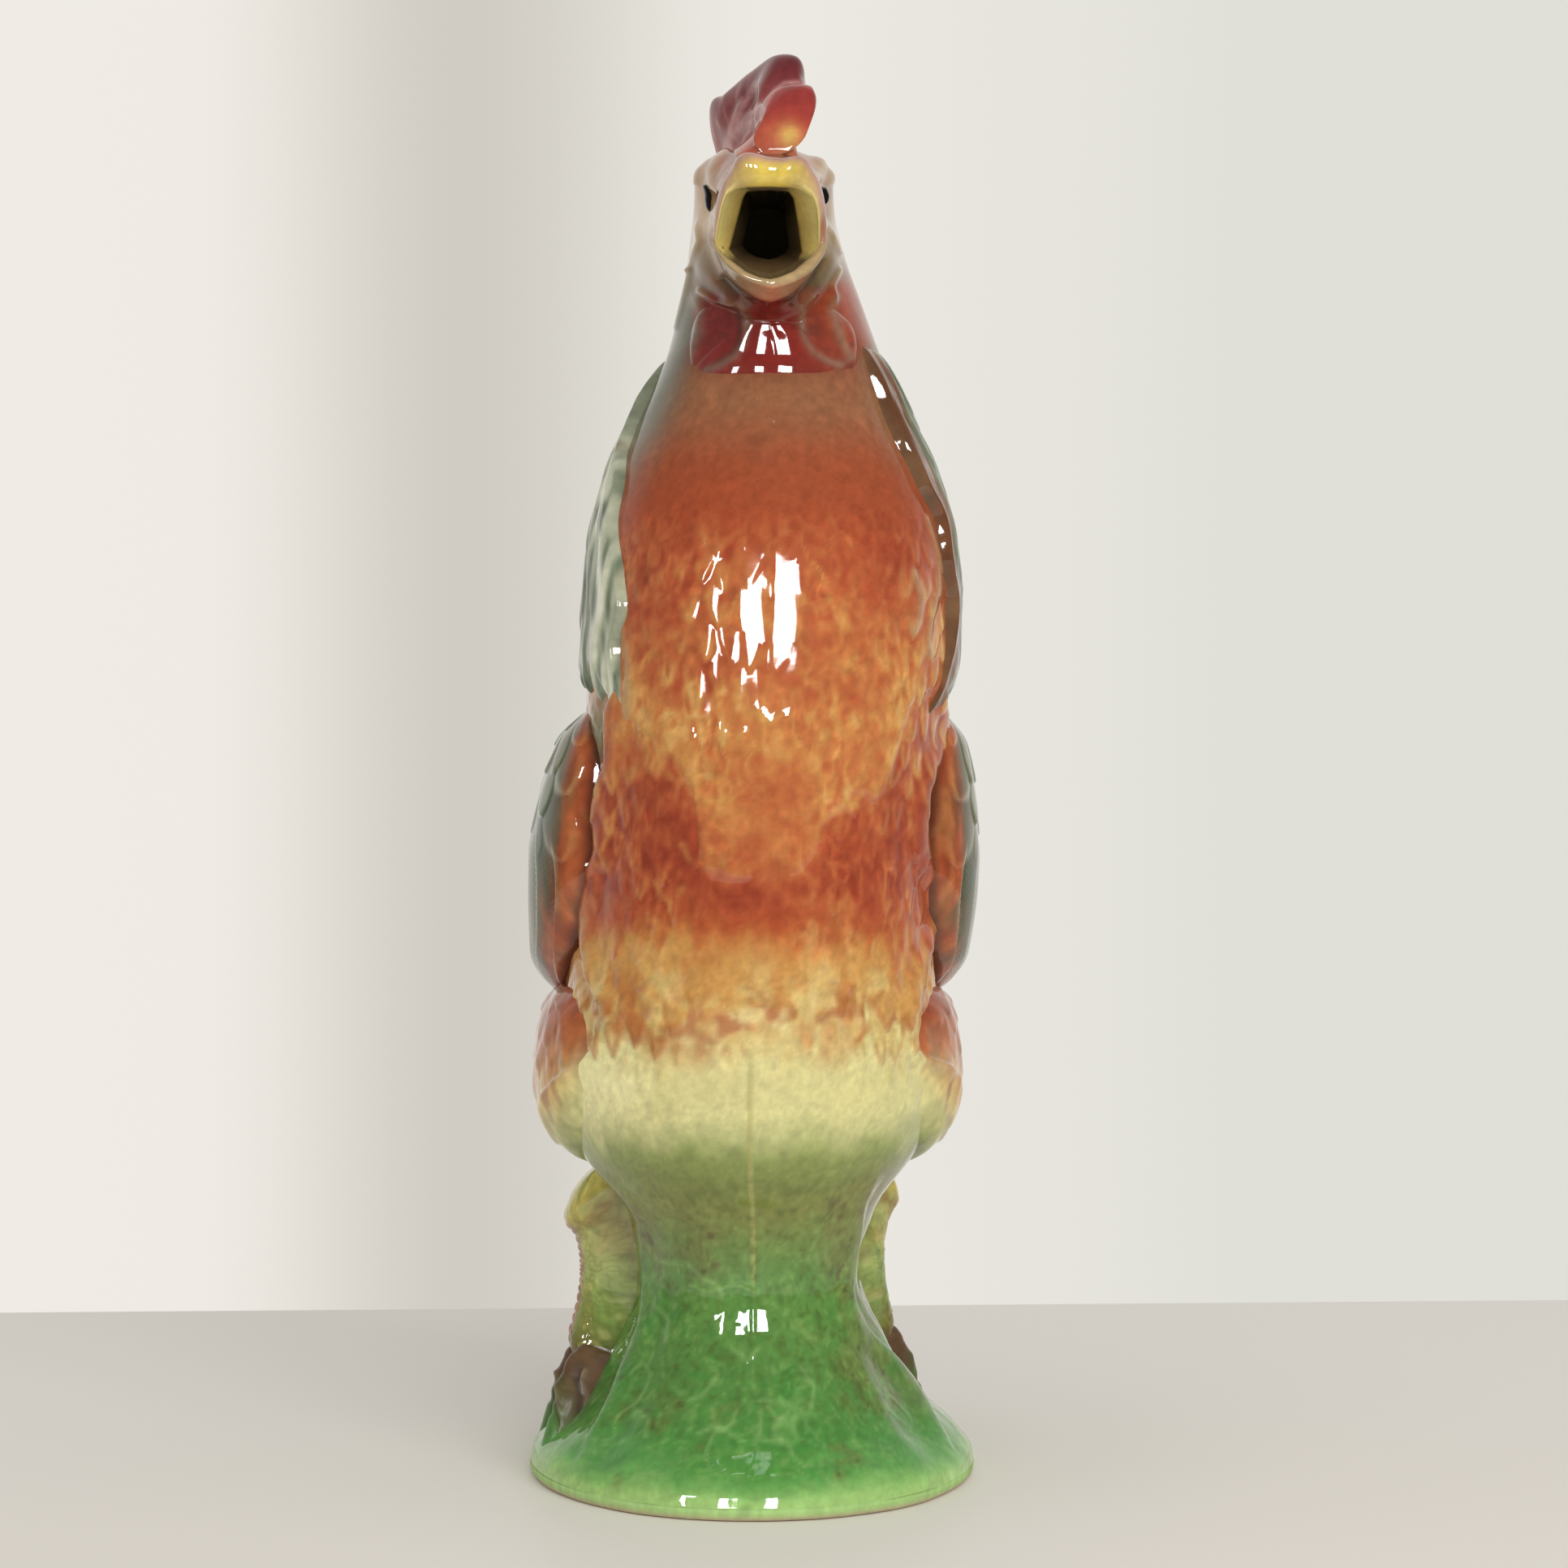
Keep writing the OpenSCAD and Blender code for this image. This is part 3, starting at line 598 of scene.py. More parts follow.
BACK_COLOURS = [
    (0, (150, 186, 112)), (3.6, (134, 178, 98)), (8, (100, 158, 85)), (29, (92, 140, 72)),
    (54, (100, 128, 70)), (74, (120, 126, 72)), (95, (196, 186, 128)), (118, (190, 128, 76)),
    (140, (128, 84, 56)), (165, (84, 88, 62)), (200, (88, 98, 78)), (250, (92, 98, 76)), (277, (88, 96, 76)),
]
# From the breast's dark rust to its gold
BREAST_COLOURS = [
    (-0.1, (132, 56, 36)), (0.12, (154, 64, 42)), (0.32, (180, 88, 54)), (0.52, (196, 115, 67)),
    (0.75, (212, 148, 82)), (1, (224, 176, 108)),
]


def from_stops(stops, x):
    """Colours between stops, each of a place and its colour."""
    places = [place for place, _ in stops]
    return np.stack([np.interp(x, places, [colour[k] for _, colour in stops]) for k in range(3)], -1)


def over(colour, paint, share):
    """The colour with paint laid over it."""
    return mix(colour, np.array(paint, float), np.clip(np.asarray(share), 0, 1)[..., None])


def layers(colour, *coats):
    """The colour under coats of paint laid in turn, each a paint and its share."""
    for paint, share in coats:
        colour = over(colour, paint, share)
    return colour


def grained(colour, points, strength, size, seed):
    """The colour in soft lighter and darker spots."""
    return colour * (1 + strength * noise(points, size, seed))[..., None]


def brushed(points, size, seed, long=2.6):
    """Noise drawn out upwards, like brush strokes."""
    return noise(points * [1, 1, 1 / long], size, seed)


class Wall:
    """What the paints of the wall below the head share."""

    def __init__(self, spots):
        self.angle, self.z, self.point = spots.round(), spots.z, spots.point
        self.view, self.front = seen(self.point), facing(spots)
        self.plume, self.show = breast_feathers(spots)
        self.off_seam = np.abs(self.angle - seam_angle)
        self.around = 1 - step(np.abs(self.angle - 270), 92, 120)
        self.rightward = step(self.angle, 262, 300)
        self.bent = self.point + 1.6 * np.stack([noise(self.point, 4, seed) for seed in (91, 92, 93)], -1)
        belly = hill(self.z, 126, 24)
        drift = 3.2 * noise(self.point, 12, 71) + 2 * noise(self.point, 4.5, 72)
        drift = drift + 1.2 * brushed(self.point, 2, 77)
        drift = drift + self.show * (self.plume.tip - 0.5) * 9 * (1 - step(self.z, 126, 156))
        self.drift = drift * mix(1, 1.5, belly) + 2.5 * noise(self.point, 22, 69) * belly
        self.level = self.z + self.drift


def breast_tone(wall, spots, flecks):
    """How light the breast is at each spot, dark rust at 0 and gold at 1."""
    z, point, bent, plume = wall.z, wall.point, wall.bent, wall.plume
    deep = shield_depth(spots)
    patch = noise(point, 15, 73) + 0.5 * noise(point, 6, 74)
    middle = hill(wall.view[..., 0], 3, 12)
    lower = (1 - step(deep, -8, 4)) * step(wall.level, 134, 146)
    amount = 0.5 * patch + mix(0.22, 0.35, wall.rightward) + 0.35 * hill(deep, 6, 18)
    amount = amount - mix(0.95, 0.92, wall.rightward) * lower - 0.7 * step(z, 205, 228)
    amount = amount + 0.25 * middle * step(z, 152, 170) + 0.35 * hill(z, 176, 26)
    rough = mix(0.3, 1, step(patch + 0.5 * noise(point, 5, 68), -0.35, 0.35)) * mix(0.6, 1, 1 - middle)
    curls = 1 - step(np.abs(brushed(bent, 3.2, 90, 2.2)), 0.05, 0.34)
    fleck = wall.show * (0.42 * plume.rim + 0.34 * (plume.tip - 0.55))
    fleck = fleck + 0.2 * (curls - 0.2) + 0.1 * brushed(bent, 1.2, 94, 3)
    return 0.38 + rough * (fleck + 0.08 * flecks) + 0.26 * amount + 0.12 * noise(bent, 2.4, 84)


def breast_paint(colour, wall, spots):
    """Rust and gold in feather tips, curls and flecks, with pale tips and creases."""
    z, level, point = wall.z, wall.level, wall.point
    flecks = brushed(point, 1.1, 78, 2) * 0.6 + brushed(point, 2.4, 79) * 0.5
    tone = breast_tone(wall, spots, flecks)
    breast = step(z, 112, 136) * (1 - step(z, 228, 256)) * wall.around
    share = breast * step(level, 129, 143) * (1 - step(z, 218, 244))
    band = breast * (1 - step(level, 129, 143)) + 0.25 * breast * step(z, 218, 244)
    outer = step(wall.off_seam, 20, 44) * step(z, 150, 165) * (1 - step(z, 226, 242)) * wall.around
    tips = strokes(wall.view, TIPS, 1.2) * wall.front
    return layers(
        mix(colour, from_stops(BREAST_COLOURS, tone), 0.92 * share[..., None]),
        ((224, 184, 116), 0.55 * band * step(tone, 0.45, 0.8)),
        ((160, 82, 46), 0.5 * band * (1 - step(tone, 0.05, 0.36))),
        ((204, 168, 106), 0.55 * wall.plume.rim * wall.show * outer),
        ((212, 160, 84), 0.5 * tips * step(flecks, -0.5, 0.5)),
        ((180, 158, 120), 0.6 * strokes(wall.view, CREASES, 1.2) * wall.front),
    )


def edge_paint(colour, wall, spots):
    """The flanks below the cape, and at the breast's edge a painted highlight along it and a painted shadow
    over the wings.
    """
    z, inside = wall.z, breast_inside(spots)
    flank = (1 - step(inside, -4, 0)) * hill(z, 180, 18) * wall.around
    tall = step(z, 104, 116) * (1 - step(z, 184, 196)) * wall.around
    return layers(
        colour,
        ((132, 136, 106), 0.9 * flank * (1 - wall.rightward)),
        ((116, 92, 64), 0.8 * flank * wall.rightward),
        ((140, 104, 76), 0.4 * tall * step(inside, -1, 0.4) * (1 - step(inside, 1, 7))),
        # Painted highlight: a pale line just inside the breast's edge
        ((196, 168, 138), 0.75 * tall * hill(inside, 0.4, 1.4)),
        # Painted shadow: a dark line where the breast's edge overhangs the wings
        ((44, 28, 20), 0.9 * tall * step(z, 116, 128) * hill(inside, -2.2, 2.2)),
    )


def belly_paint(colour, wall, spots):
    """Cream and gold clumps of down, with rusty stains between them."""
    z, bent, around = wall.z, wall.bent, wall.around
    belly = hill(z, 112, 20) * around
    blots = step(noise(bent, 5, 95) + 0.6 * noise(bent, 2.2, 96), 0, 0.8)
    patches = step(noise(bent * [1, 1, 0.8], 8, 67) + 0.5 * noise(bent, 3, 66), -0.1, 0.6)
    lumps = step(noise(bent * [1, 1, 0.8], 7, 65) + 0.4 * noise(bent, 2.6, 63), -0.05, 0.6)
    stains = step(noise(bent, 3.4, 97) + 0.5 * brushed(bent, 1.6, 98), 0.1, 0.9)
    return layers(
        colour,
        ((236, 226, 160), 0.7 * belly * blots * (1 - step(z, 112, 126))),
        ((252, 244, 182), 0.95 * step(-wall.view[..., 0], 20, 34) * hill(z, 98, 16) * around),
        ((158, 92, 50), 0.65 * hill(wall.level, 113, 13) * around * wall.plume.rim * wall.show),
        ((178, 104, 56), 0.8 * patches * hill(z, 115, 15) * around),
        ((230, 208, 136), 0.75 * lumps * hill(z, 116, 20) * around),
        ((170, 104, 56), 0.6 * belly * stains * step(wall.level, 100, 110)),
    )


def ground_paint(colour, wall, spots):
    """The seam on the waist, and mossy greens, browns and pale wisps on the ground below it."""
    z, point, bent, across = wall.z, wall.point, wall.bent, wall.view[..., 0]
    seam = 1 - step(wall.off_seam * spots.per_degree, 0.25, 0.9)
    ground = (1 - step(z, 66, 84)) * step(z, 2, 12)
    moss = noise(point, 11, 87) + 0.5 * noise(point, 4, 88) + 0.4 * noise(point, 1.8, 89)
    rusty = 0.75 * step(across, 12, 30) * step(z, 16, 30) + 0.4 * step(z, 40, 62) - 0.5 * hill(across, 6, 14)
    olive = step(moss + rusty - 0.3, 0, 0.9)
    grains = noise(bent, 1.2, 99) + 0.6 * noise(bent, 3, 85)
    specks = step(noise(point, 1.7, 64), 0.35, 0.8)
    wisps = strokes(wall.view, WISPS, 0.9) * wall.front
    return layers(
        colour,
        ((184, 176, 108), 0.6 * seam * step(z, 44, 54) * (1 - step(z, 98, 112))),
        ((126, 112, 62), 0.4 * ground * olive),
        ((62, 136, 56), 0.4 * ground * step(-moss, 0, 0.8) * (1 - step(z, 40, 58))),
        ((72, 62, 40), 0.5 * ground * specks * olive),
        ((152, 178, 104), 0.34 * ground * step(grains, 0.1, 0.9)),
        ((84, 96, 44), 0.42 * ground * step(-grains, 0.15, 0.9) * step(z, 10, 20)),
        ((104, 88, 60), 0.65 * wall.front * dab(wall.view, -46, 18, 6, 8)),
        ((112, 94, 60), 0.8 * wall.front * dab(wall.view, 45, 19, 7, 7)),
        ((140, 178, 106), ground * np.clip(0.55 * wisps + 0.5 * ground_lines(spots), 0, 1)),
    )


def neck_paint(colour, wall, spots):
    """The paler neck above the breast, and its grey-green and tan sides."""
    sides = step(wall.off_seam, 34, 66) * step(wall.z, 232, 262) * wall.around
    return layers(
        colour,
        ((156, 116, 78), 0.5 * hill(wall.z, 263, 22) * wall.around),
        ((86, 96, 76), 0.85 * sides * (1 - wall.rightward)),
        ((140, 116, 84), 0.7 * sides * wall.rightward),
    )


def body_paint(spots):
    """The wall below the head: green ground, cream belly and orange breast."""
    wall = Wall(spots)
    front = from_stops(FRONT_COLOURS, wall.z + wall.drift * mix(0.25, 1, step(wall.z, 58, 84)))
    colour = mix(from_stops(BACK_COLOURS, wall.level), front, wall.around[..., None])
    for paint in (breast_paint, edge_paint, belly_paint, ground_paint, neck_paint):
        colour = paint(colour, wall, spots)
    mottle = noise(wall.point, 2.4, 75) * noise(wall.point, 5.2, 76)
    return colour * (1 + 0.14 * mottle + 0.05 * noise(wall.point, 0.9, 70))[..., None]


# Dabs of paint on the face, as it shows from the front: colour, place, half width, half height and strength
# The dark brown dabs along the line under the lip are painted shadow
FACE_DABS = [
    ((222, 190, 148), -11.5, 307.2, 5, 12, 0.85), ((76, 76, 58), -8.5, 290.3, 7, 4, 0.95),
    ((88, 90, 74), -14.8, 287.6, 4, 8, 0.7), ((104, 98, 74), 14.8, 291.2, 5, 3.6, 0.85),
    ((132, 126, 100), 17.2, 296.5, 3.4, 5, 0.6), ((150, 58, 42), 22.2, 285.3, 3.4, 9, 0.8),
    ((128, 44, 38), 4.8, 284.7, 7, 5, 1), ((62, 56, 42), -1.7, 288.2, 5, 2.2, 0.8),
    ((70, 60, 44), 11.3, 289.1, 5, 2.2, 0.8), ((160, 92, 76), -10.9, 292.4, 4.5, 4, 0.7),
    ((96, 92, 74), -10.0, 287.6, 7, 3.5, 0.75), ((92, 98, 84), -17.1, 282.9, 5, 9, 0.8),
    ((150, 140, 118), -15.4, 293.6, 3, 7, 0.6), ((156, 136, 92), 19.6, 303.6, 5, 8, 0.8),
    ((176, 150, 130), 19.6, 295.3, 4, 5, 0.6), ((156, 74, 50), 22.8, 290.0, 4, 7, 0.8),
    ((168, 88, 50), 25.5, 282.9, 4.5, 7, 0.75), ((120, 112, 90), 15.4, 290.0, 4, 4, 0.7),
    ((150, 138, 104), 29.0, 272.8, 6, 6, 0.6), ((168, 92, 66), -7.1, 324.3, 2.6, 4, 0.75),
    ((196, 160, 120), -11.1, 320.8, 3, 6, 0.6), ((182, 116, 70), 14.5, 323.8, 2.6, 5, 0.7),
    ((188, 162, 118), 17.2, 321.4, 3, 6, 0.6), ((134, 44, 36), 4.8, 281.7, 7, 9, 0.9),
    ((116, 104, 86), -12.4, 297.4, 5, 8, 0.7), ((104, 98, 76), 18.3, 293.0, 5.5, 8, 0.75),
    ((86, 60, 44), -1.7, 287.6, 4, 2, 0.6), ((90, 66, 48), 11.9, 289.4, 4, 2, 0.6),
]


# The wattles: pale rims, and the middles of their red hollows, as they show from the front
WATTLE_RIMS = [
    [(-5.8, 288.9), (-2.6, 287.6), (-0.8, 284.7), (-0.6, 281.7), (-1.3, 278.2), (-3.5, 274.9),
     (-7.1, 272.8), (-11.2, 271.4)],
    [(-13.1, 289.4), (-11.9, 285.9), (-11.9, 281.7), (-13.0, 278.2), (-14.6, 274.6), (-15.8, 271.7)],
    [(15.0, 290.0), (12.9, 287.1), (12.4, 283.5), (13.2, 279.4), (15.4, 275.8), (19.0, 273.7),
     (22.2, 272.8)],
    [(20.3, 289.4), (19.7, 285.9), (20.4, 282.3), (22.2, 278.2), (24.6, 274.6)],
]
WATTLE_HOLLOWS = [
    ((134, 50, 47), [(-8.5, 285.3), (-6.0, 284.7), (-5.8, 281.1), (-7.4, 277.0), (-10.6, 274.0)]),
    ((140, 60, 42), [(16.6, 286.5), (15.7, 282.3), (17.5, 278.2), (20.5, 276.1)]),
    ((160, 72, 46), [(22.8, 288.8), (23.7, 284.1), (25.5, 280.5)]),
    ((136, 42, 36), [(4.8, 285.3), (4.8, 273.4)]),
]


def wattle_rims(view):
    """1 on the wattles' rims."""
    return np.clip(strokes(view, WATTLE_RIMS, 2.2), 0, 1)


def wattle_hollows(view):
    """How deep each spot lies in the two front hollows."""
    return sum(1 - step(apart(view, path), 1.5, 6) for _, path in WATTLE_HOLLOWS[:2])


def wattle_colours(colour, view, share):
    """Red hollows between greyish rims, the first of which has a painted shadow line beside it."""
    shadow = np.array(WATTLE_RIMS[0]) + [-1.6, -0.4]
    hollows = [(paint, 0.95 * share * (1 - step(apart(view, path), 3.2, 7.5)))
               for paint, path in WATTLE_HOLLOWS]
    return layers(
        colour,
        *hollows,
        ((60, 50, 42), 0.5 * share * stroke(view, shadow, 1.2)),
        ((142, 126, 108), 0.62 * share * wattle_rims(view) ** 2),
    )


# Round the face, by degrees from the middle of the back
FACE_COLOURS = [
    (0, (118, 84, 66)), (25, (124, 78, 62)), (50, (150, 96, 72)), (84, (170, 136, 106)),
    (112, (160, 132, 102)), (140, (132, 98, 78)), (158, (128, 56, 46)), (180, (126, 42, 36)),
]


def head_paint(spots):
    """Cream and pink face, with orange-brown streaks, grey-green folds, a painted shadow under the lip and a
    dark red throat.
    """
    s, point, off_back = spots.s, spots.point, spots.off_back()
    view, front = seen(point), facing(spots)
    streaks = step(brushed(point, 2.6, 81), 0.05, 0.6)
    low_part = 1 - step(s, at_tilt(4), at_tilt(34))
    nape = (1 - step(s, throat_z + 2, throat_z + 22)) * (1 - step(off_back, 100, 130))
    dabs = [(colour, strength * front * dab(view, x, z, wide, tall))
            for colour, x, z, wide, tall, strength in FACE_DABS]
    face = layers(
        from_stops(FACE_COLOURS, off_back),
        ((150, 84, 60), 0.4 * streaks * hill(off_back, 50, 44)),
        ((88, 90, 72), 0.9 * low_part * hill(off_back, 96, 54)),
        ((84, 96, 76), 0.9 * nape),
        *dabs,
        ((206, 192, 170), 0.6 * front * np.clip(strokes(view, BROWS + FOLDS, 0.8), 0, 1)),
        # Painted shadow: a dark line under the lip
        ((74, 52, 40), 0.8 * front * stroke(view, UNDER_LIP, 1.1)),
    )
    face = wattle_colours(face, view, front) * [0.95, 0.9, 0.8]
    return face * (1 + 0.07 * noise(point, 1.6, 82) + 0.06 * noise(point, 4, 83))[..., None]


def outside_paint(spots):
    """The paint of the whole wall, the head's fading into the neck's."""
    share = step(spots.s, throat_z - 12, throat_z + 4)
    return mix(body_paint(spots), head_paint(spots), share[..., None])


# Meshes

def to_linear(colour):
    """A colour as it shows, turned into linear light."""
    c = np.clip(np.asarray(colour, float) / 255, 0, 1)
    return np.where(c <= 0.04045, c / 12.92, ((c + 0.055) / 1.055) ** 2.4)


def grid_quads(rows, columns, closed_rows=False, closed_columns=False):
    """Corner numbers of the faces of a grid, and each corner's row and column counted past the wrap."""
    i, j = np.meshgrid(
        np.arange(rows if closed_rows else rows - 1),
        np.arange(columns if closed_columns else columns - 1),
        indexing="ij",
    )
    i, j = i.ravel(), j.ravel()
    steps = [(0, 0), (0, 1), (1, 1), (1, 0)]
    quads = np.stack([(i + a) % rows * columns + (j + b) % columns for a, b in steps], -1)
    places = np.stack([np.stack([i + a, j + b], -1) for a, b in steps], 1)
    return quads, places


def new_mesh(name, points, faces, uv, colour, material, normals=None, gilt=None):
    """A mesh object from points in millimetres, quads, the flat place of each corner, and painted points."""
    points, colour = np.reshape(points, (-1, 3)), np.reshape(colour, (-1, 3))
    mesh = bpy.data.meshes.new(name)
    mesh.vertices.add(len(points))
    mesh.vertices.foreach_set("co", (points * MM).astype(np.float32).ravel())
    mesh.loops.add(faces.size)
    mesh.loops.foreach_set("vertex_index", faces.astype(np.int32).ravel())
    mesh.polygons.add(len(faces))
    mesh.polygons.foreach_set("loop_start", np.arange(0, faces.size, 4, dtype=np.int32))
    mesh.polygons.foreach_set("use_smooth", np.ones(len(faces), bool))
    layer = mesh.uv_layers.new(name="OFBake")
    layer.data.foreach_set("uv", uv.astype(np.float32).ravel())
    paint = mesh.attributes.new("paint", "FLOAT_COLOR", "POINT")
    full = np.ones((len(points), 4))
    full[:, :3] = to_linear(colour)
    paint.data.foreach_set("color", full.astype(np.float32).ravel())
    gold = mesh.attributes.new("gilt", "FLOAT", "POINT")
    gilt = np.zeros(len(points)) if gilt is None else gilt.ravel()
    gold.data.foreach_set("value", gilt.astype(np.float32))
    mesh.update()
    mesh.validate()
    if normals is not None:
        mesh.normals_split_custom_set_from_vertices(normals.reshape(-1, 3).astype(np.float32))
    mesh.materials.append(material)
    piece = bpy.data.objects.new(name, mesh)
    bpy.context.scene.collection.objects.link(piece)
    return piece


def belongs(piece, slot, *nodes):
    """Seats a piece on the bird in place of its plain solids."""
    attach(piece, "root")
    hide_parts(*nodes)


def grid_normals(points, closed_columns):
    """Outward normals of a grid whose rows go up and whose columns go round to the left."""
    up = np.gradient(points, axis=0)
    if closed_columns:
        across = np.roll(points, -1, axis=1) - np.roll(points, 1, axis=1)
    else:
        across = np.gradient(points, axis=1)
    return unit(np.cross(across, up))


def shut_ends(quads, uv, rows, columns):
    """Adds flat faces that close the first and the last row of a grid whose columns go round."""
    j = np.arange(columns // 2 - 1)
    for first, flip in ((0, False), ((rows - 1) * columns, True)):
        faces = np.stack([first + j, first + j + 1, first + columns - 2 - j, first + columns - 1 - j], -1)
        quads = np.concatenate([quads, faces[:, ::-1] if flip else faces])
    return quads, np.concatenate([uv, np.zeros((2 * len(j), 4, 2)) + 0.995])


# Angles of the columns of the vessel: close over the front, wider over the back
ANGLES = np.concatenate([
    np.linspace(90, 180, 80, endpoint=False),
    np.linspace(180, 360, 240, endpoint=False),
    np.linspace(360, 450, 80, endpoint=False),
])
inside_colour = (122, 112, 78)


def vessel_length(name, slot, start, end, spacing, inner_start=None):
    """A length of the hollow wall, its outside in full relief and its inside plain. With a start of its own
    for the inside, flat floors close the lower ends."""
    rows = int(round((end - start) / spacing)) + 1
    gap = (end - start) / (rows - 1)
    # One row more at each end gives the normals of the first and the last row
    spots = Spots((start + gap * np.arange(-1, rows + 1))[:, None], ANGLES[None, :])
    outer = spots.point + spots.out * vessel_relief(spots)[..., None]
    closed = inner_start is None
    inner_s = np.linspace(end, start if closed else inner_start, 2 + int((end - start) / 10))
    inner = skin(inner_s[:, None], ANGLES[None, :], 1)
    points = np.concatenate([outer[1:-1], inner])
    normals = np.concatenate([grid_normals(outer, True)[1:-1], -grid_normals(inner[::-1], True)[::-1]])
    colours = np.concatenate([outside_paint(spots)[1:-1], np.zeros(inner.shape) + inside_colour])
    total, columns = points.shape[:2]
    quads, places = grid_quads(total, columns, closed, True)
    row = places[..., 0]
    v = np.where(row < rows, row / rows * 0.85, 0.87 + 0.12 * (row - rows) / (len(inner) + 1))
    uv = np.stack([places[..., 1] / columns, v], -1)
    if not closed:
        quads, uv = shut_ends(quads, uv, total, columns)
    belongs(new_mesh(name, points, quads, uv, colours, glaze(slot), normals), slot, name)


# Materials

def empty_tree(owner):
    """The shader nodes of a material or a world, all taken out."""
    owner.use_nodes = True
    owner.node_tree.nodes.clear()
    return owner.node_tree


def node_of(tree, kind, place, plain=(), **settings):
    """A shader node at a place on its sheet, with settings and with the plain values of its inputs."""
    node = tree.nodes.new(kind)
    node.location = place
    for name, value in settings.items():
        setattr(node, name, value)
    for name, value in dict(plain).items():
        node.inputs[name].default_value = value
    return node


def join(tree, *links):
    """Links shader nodes, each link told as a node, its output, another node and its input."""
    for start, output, end, entry in links:
        tree.links.new(start.outputs[output], end.inputs[entry])


def glaze(name, roughness=0.05, speckle=0.09, bend=1.52):
    """Glossy glaze over painted clay: the painted colour, broken by fine speckle, under a rippled clear coat
    that bends light as told."""
    material = bpy.data.materials.new(name)
    tree = empty_tree(material)
    out = node_of(tree, "ShaderNodeOutputMaterial", (900, 0))
    shader = node_of(tree, "ShaderNodeBsdfPrincipled", (600, 0), {"Roughness": roughness, "IOR": bend})
    paint = node_of(tree, "ShaderNodeAttribute", (-600, 200), attribute_name="paint")
    gilt = node_of(tree, "ShaderNodeAttribute", (-600, -300), attribute_name="gilt")
    place = node_of(tree, "ShaderNodeTexCoord", (-1000, 0))
    fine = {"Scale": 520, "Detail": 4, "Roughness": 0.65}
    mottle = node_of(tree, "ShaderNodeTexNoise", (-800, 0), fine)
    levels = {"From Min": 0.3, "From Max": 0.7, "To Min": 1 - speckle, "To Max": 1 + speckle}
    spread = node_of(tree, "ShaderNodeMapRange", (-600, 0), levels)
    tinted = node_of(tree, "ShaderNodeMix", (-200, 100), {"Factor": 1},
                     data_type="RGBA", blend_type="MULTIPLY")
    ripple = node_of(tree, "ShaderNodeTexNoise", (-800, -500), {"Scale": 160, "Detail": 3})
    bump = node_of(tree, "ShaderNodeBump", (200, -400), {"Strength": 0.5, "Distance": 0.06 * MM})
    join(
        tree,
        (place, "Object", mottle, "Vector"),
        (place, "Object", ripple, "Vector"),
        (mottle, "Fac", spread, "Value"),
        (paint, "Color", tinted, "A"),
        (spread, "Result", tinted, "B"),
        (tinted, "Result", shader, "Base Color"),
        (gilt, "Fac", shader, "Metallic"),
        (ripple, "Fac", bump, "Height"),
        (bump, "Normal", shader, "Normal"),
        (shader, "BSDF", out, "Surface"),
    )
    return material


# The stage

table_side, table_behind = 600, 254


def stage():
    """The pale table, which ends behind the bird where the wall begins."""
    corners = [(-table_side, -table_side), (table_side, -table_side), (table_side, table_behind),
               (-table_side, table_behind)]
    material = bpy.data.materials.new("table_top")
    material.use_nodes = True
    shader = material.node_tree.nodes["Principled BSDF"]
    shader.inputs["Base Color"].default_value = (*to_linear((240, 235, 227)), 1)
    shader.inputs["Roughness"].default_value = 0.55
    mesh = bpy.data.meshes.new("table_top")
    mesh.from_pydata([(x * MM, y * MM, 0) for x, y in corners], [], [(0, 1, 2, 3)])
    mesh.materials.append(material)
    table = bpy.data.objects.new("table_top", mesh)
    bpy.context.scene.collection.objects.link(table)


# The wall behind, from left to right past the bird: a soft shadow on its left
WALL_COLOURS = [
    (0.01, (240, 236, 229)), (0.2, (239, 235, 228)), (0.4, (208, 204, 195)), (0.62, (236, 233, 226)),
    (0.8, (230, 228, 221)), (0.99, (224, 223, 216)),
]


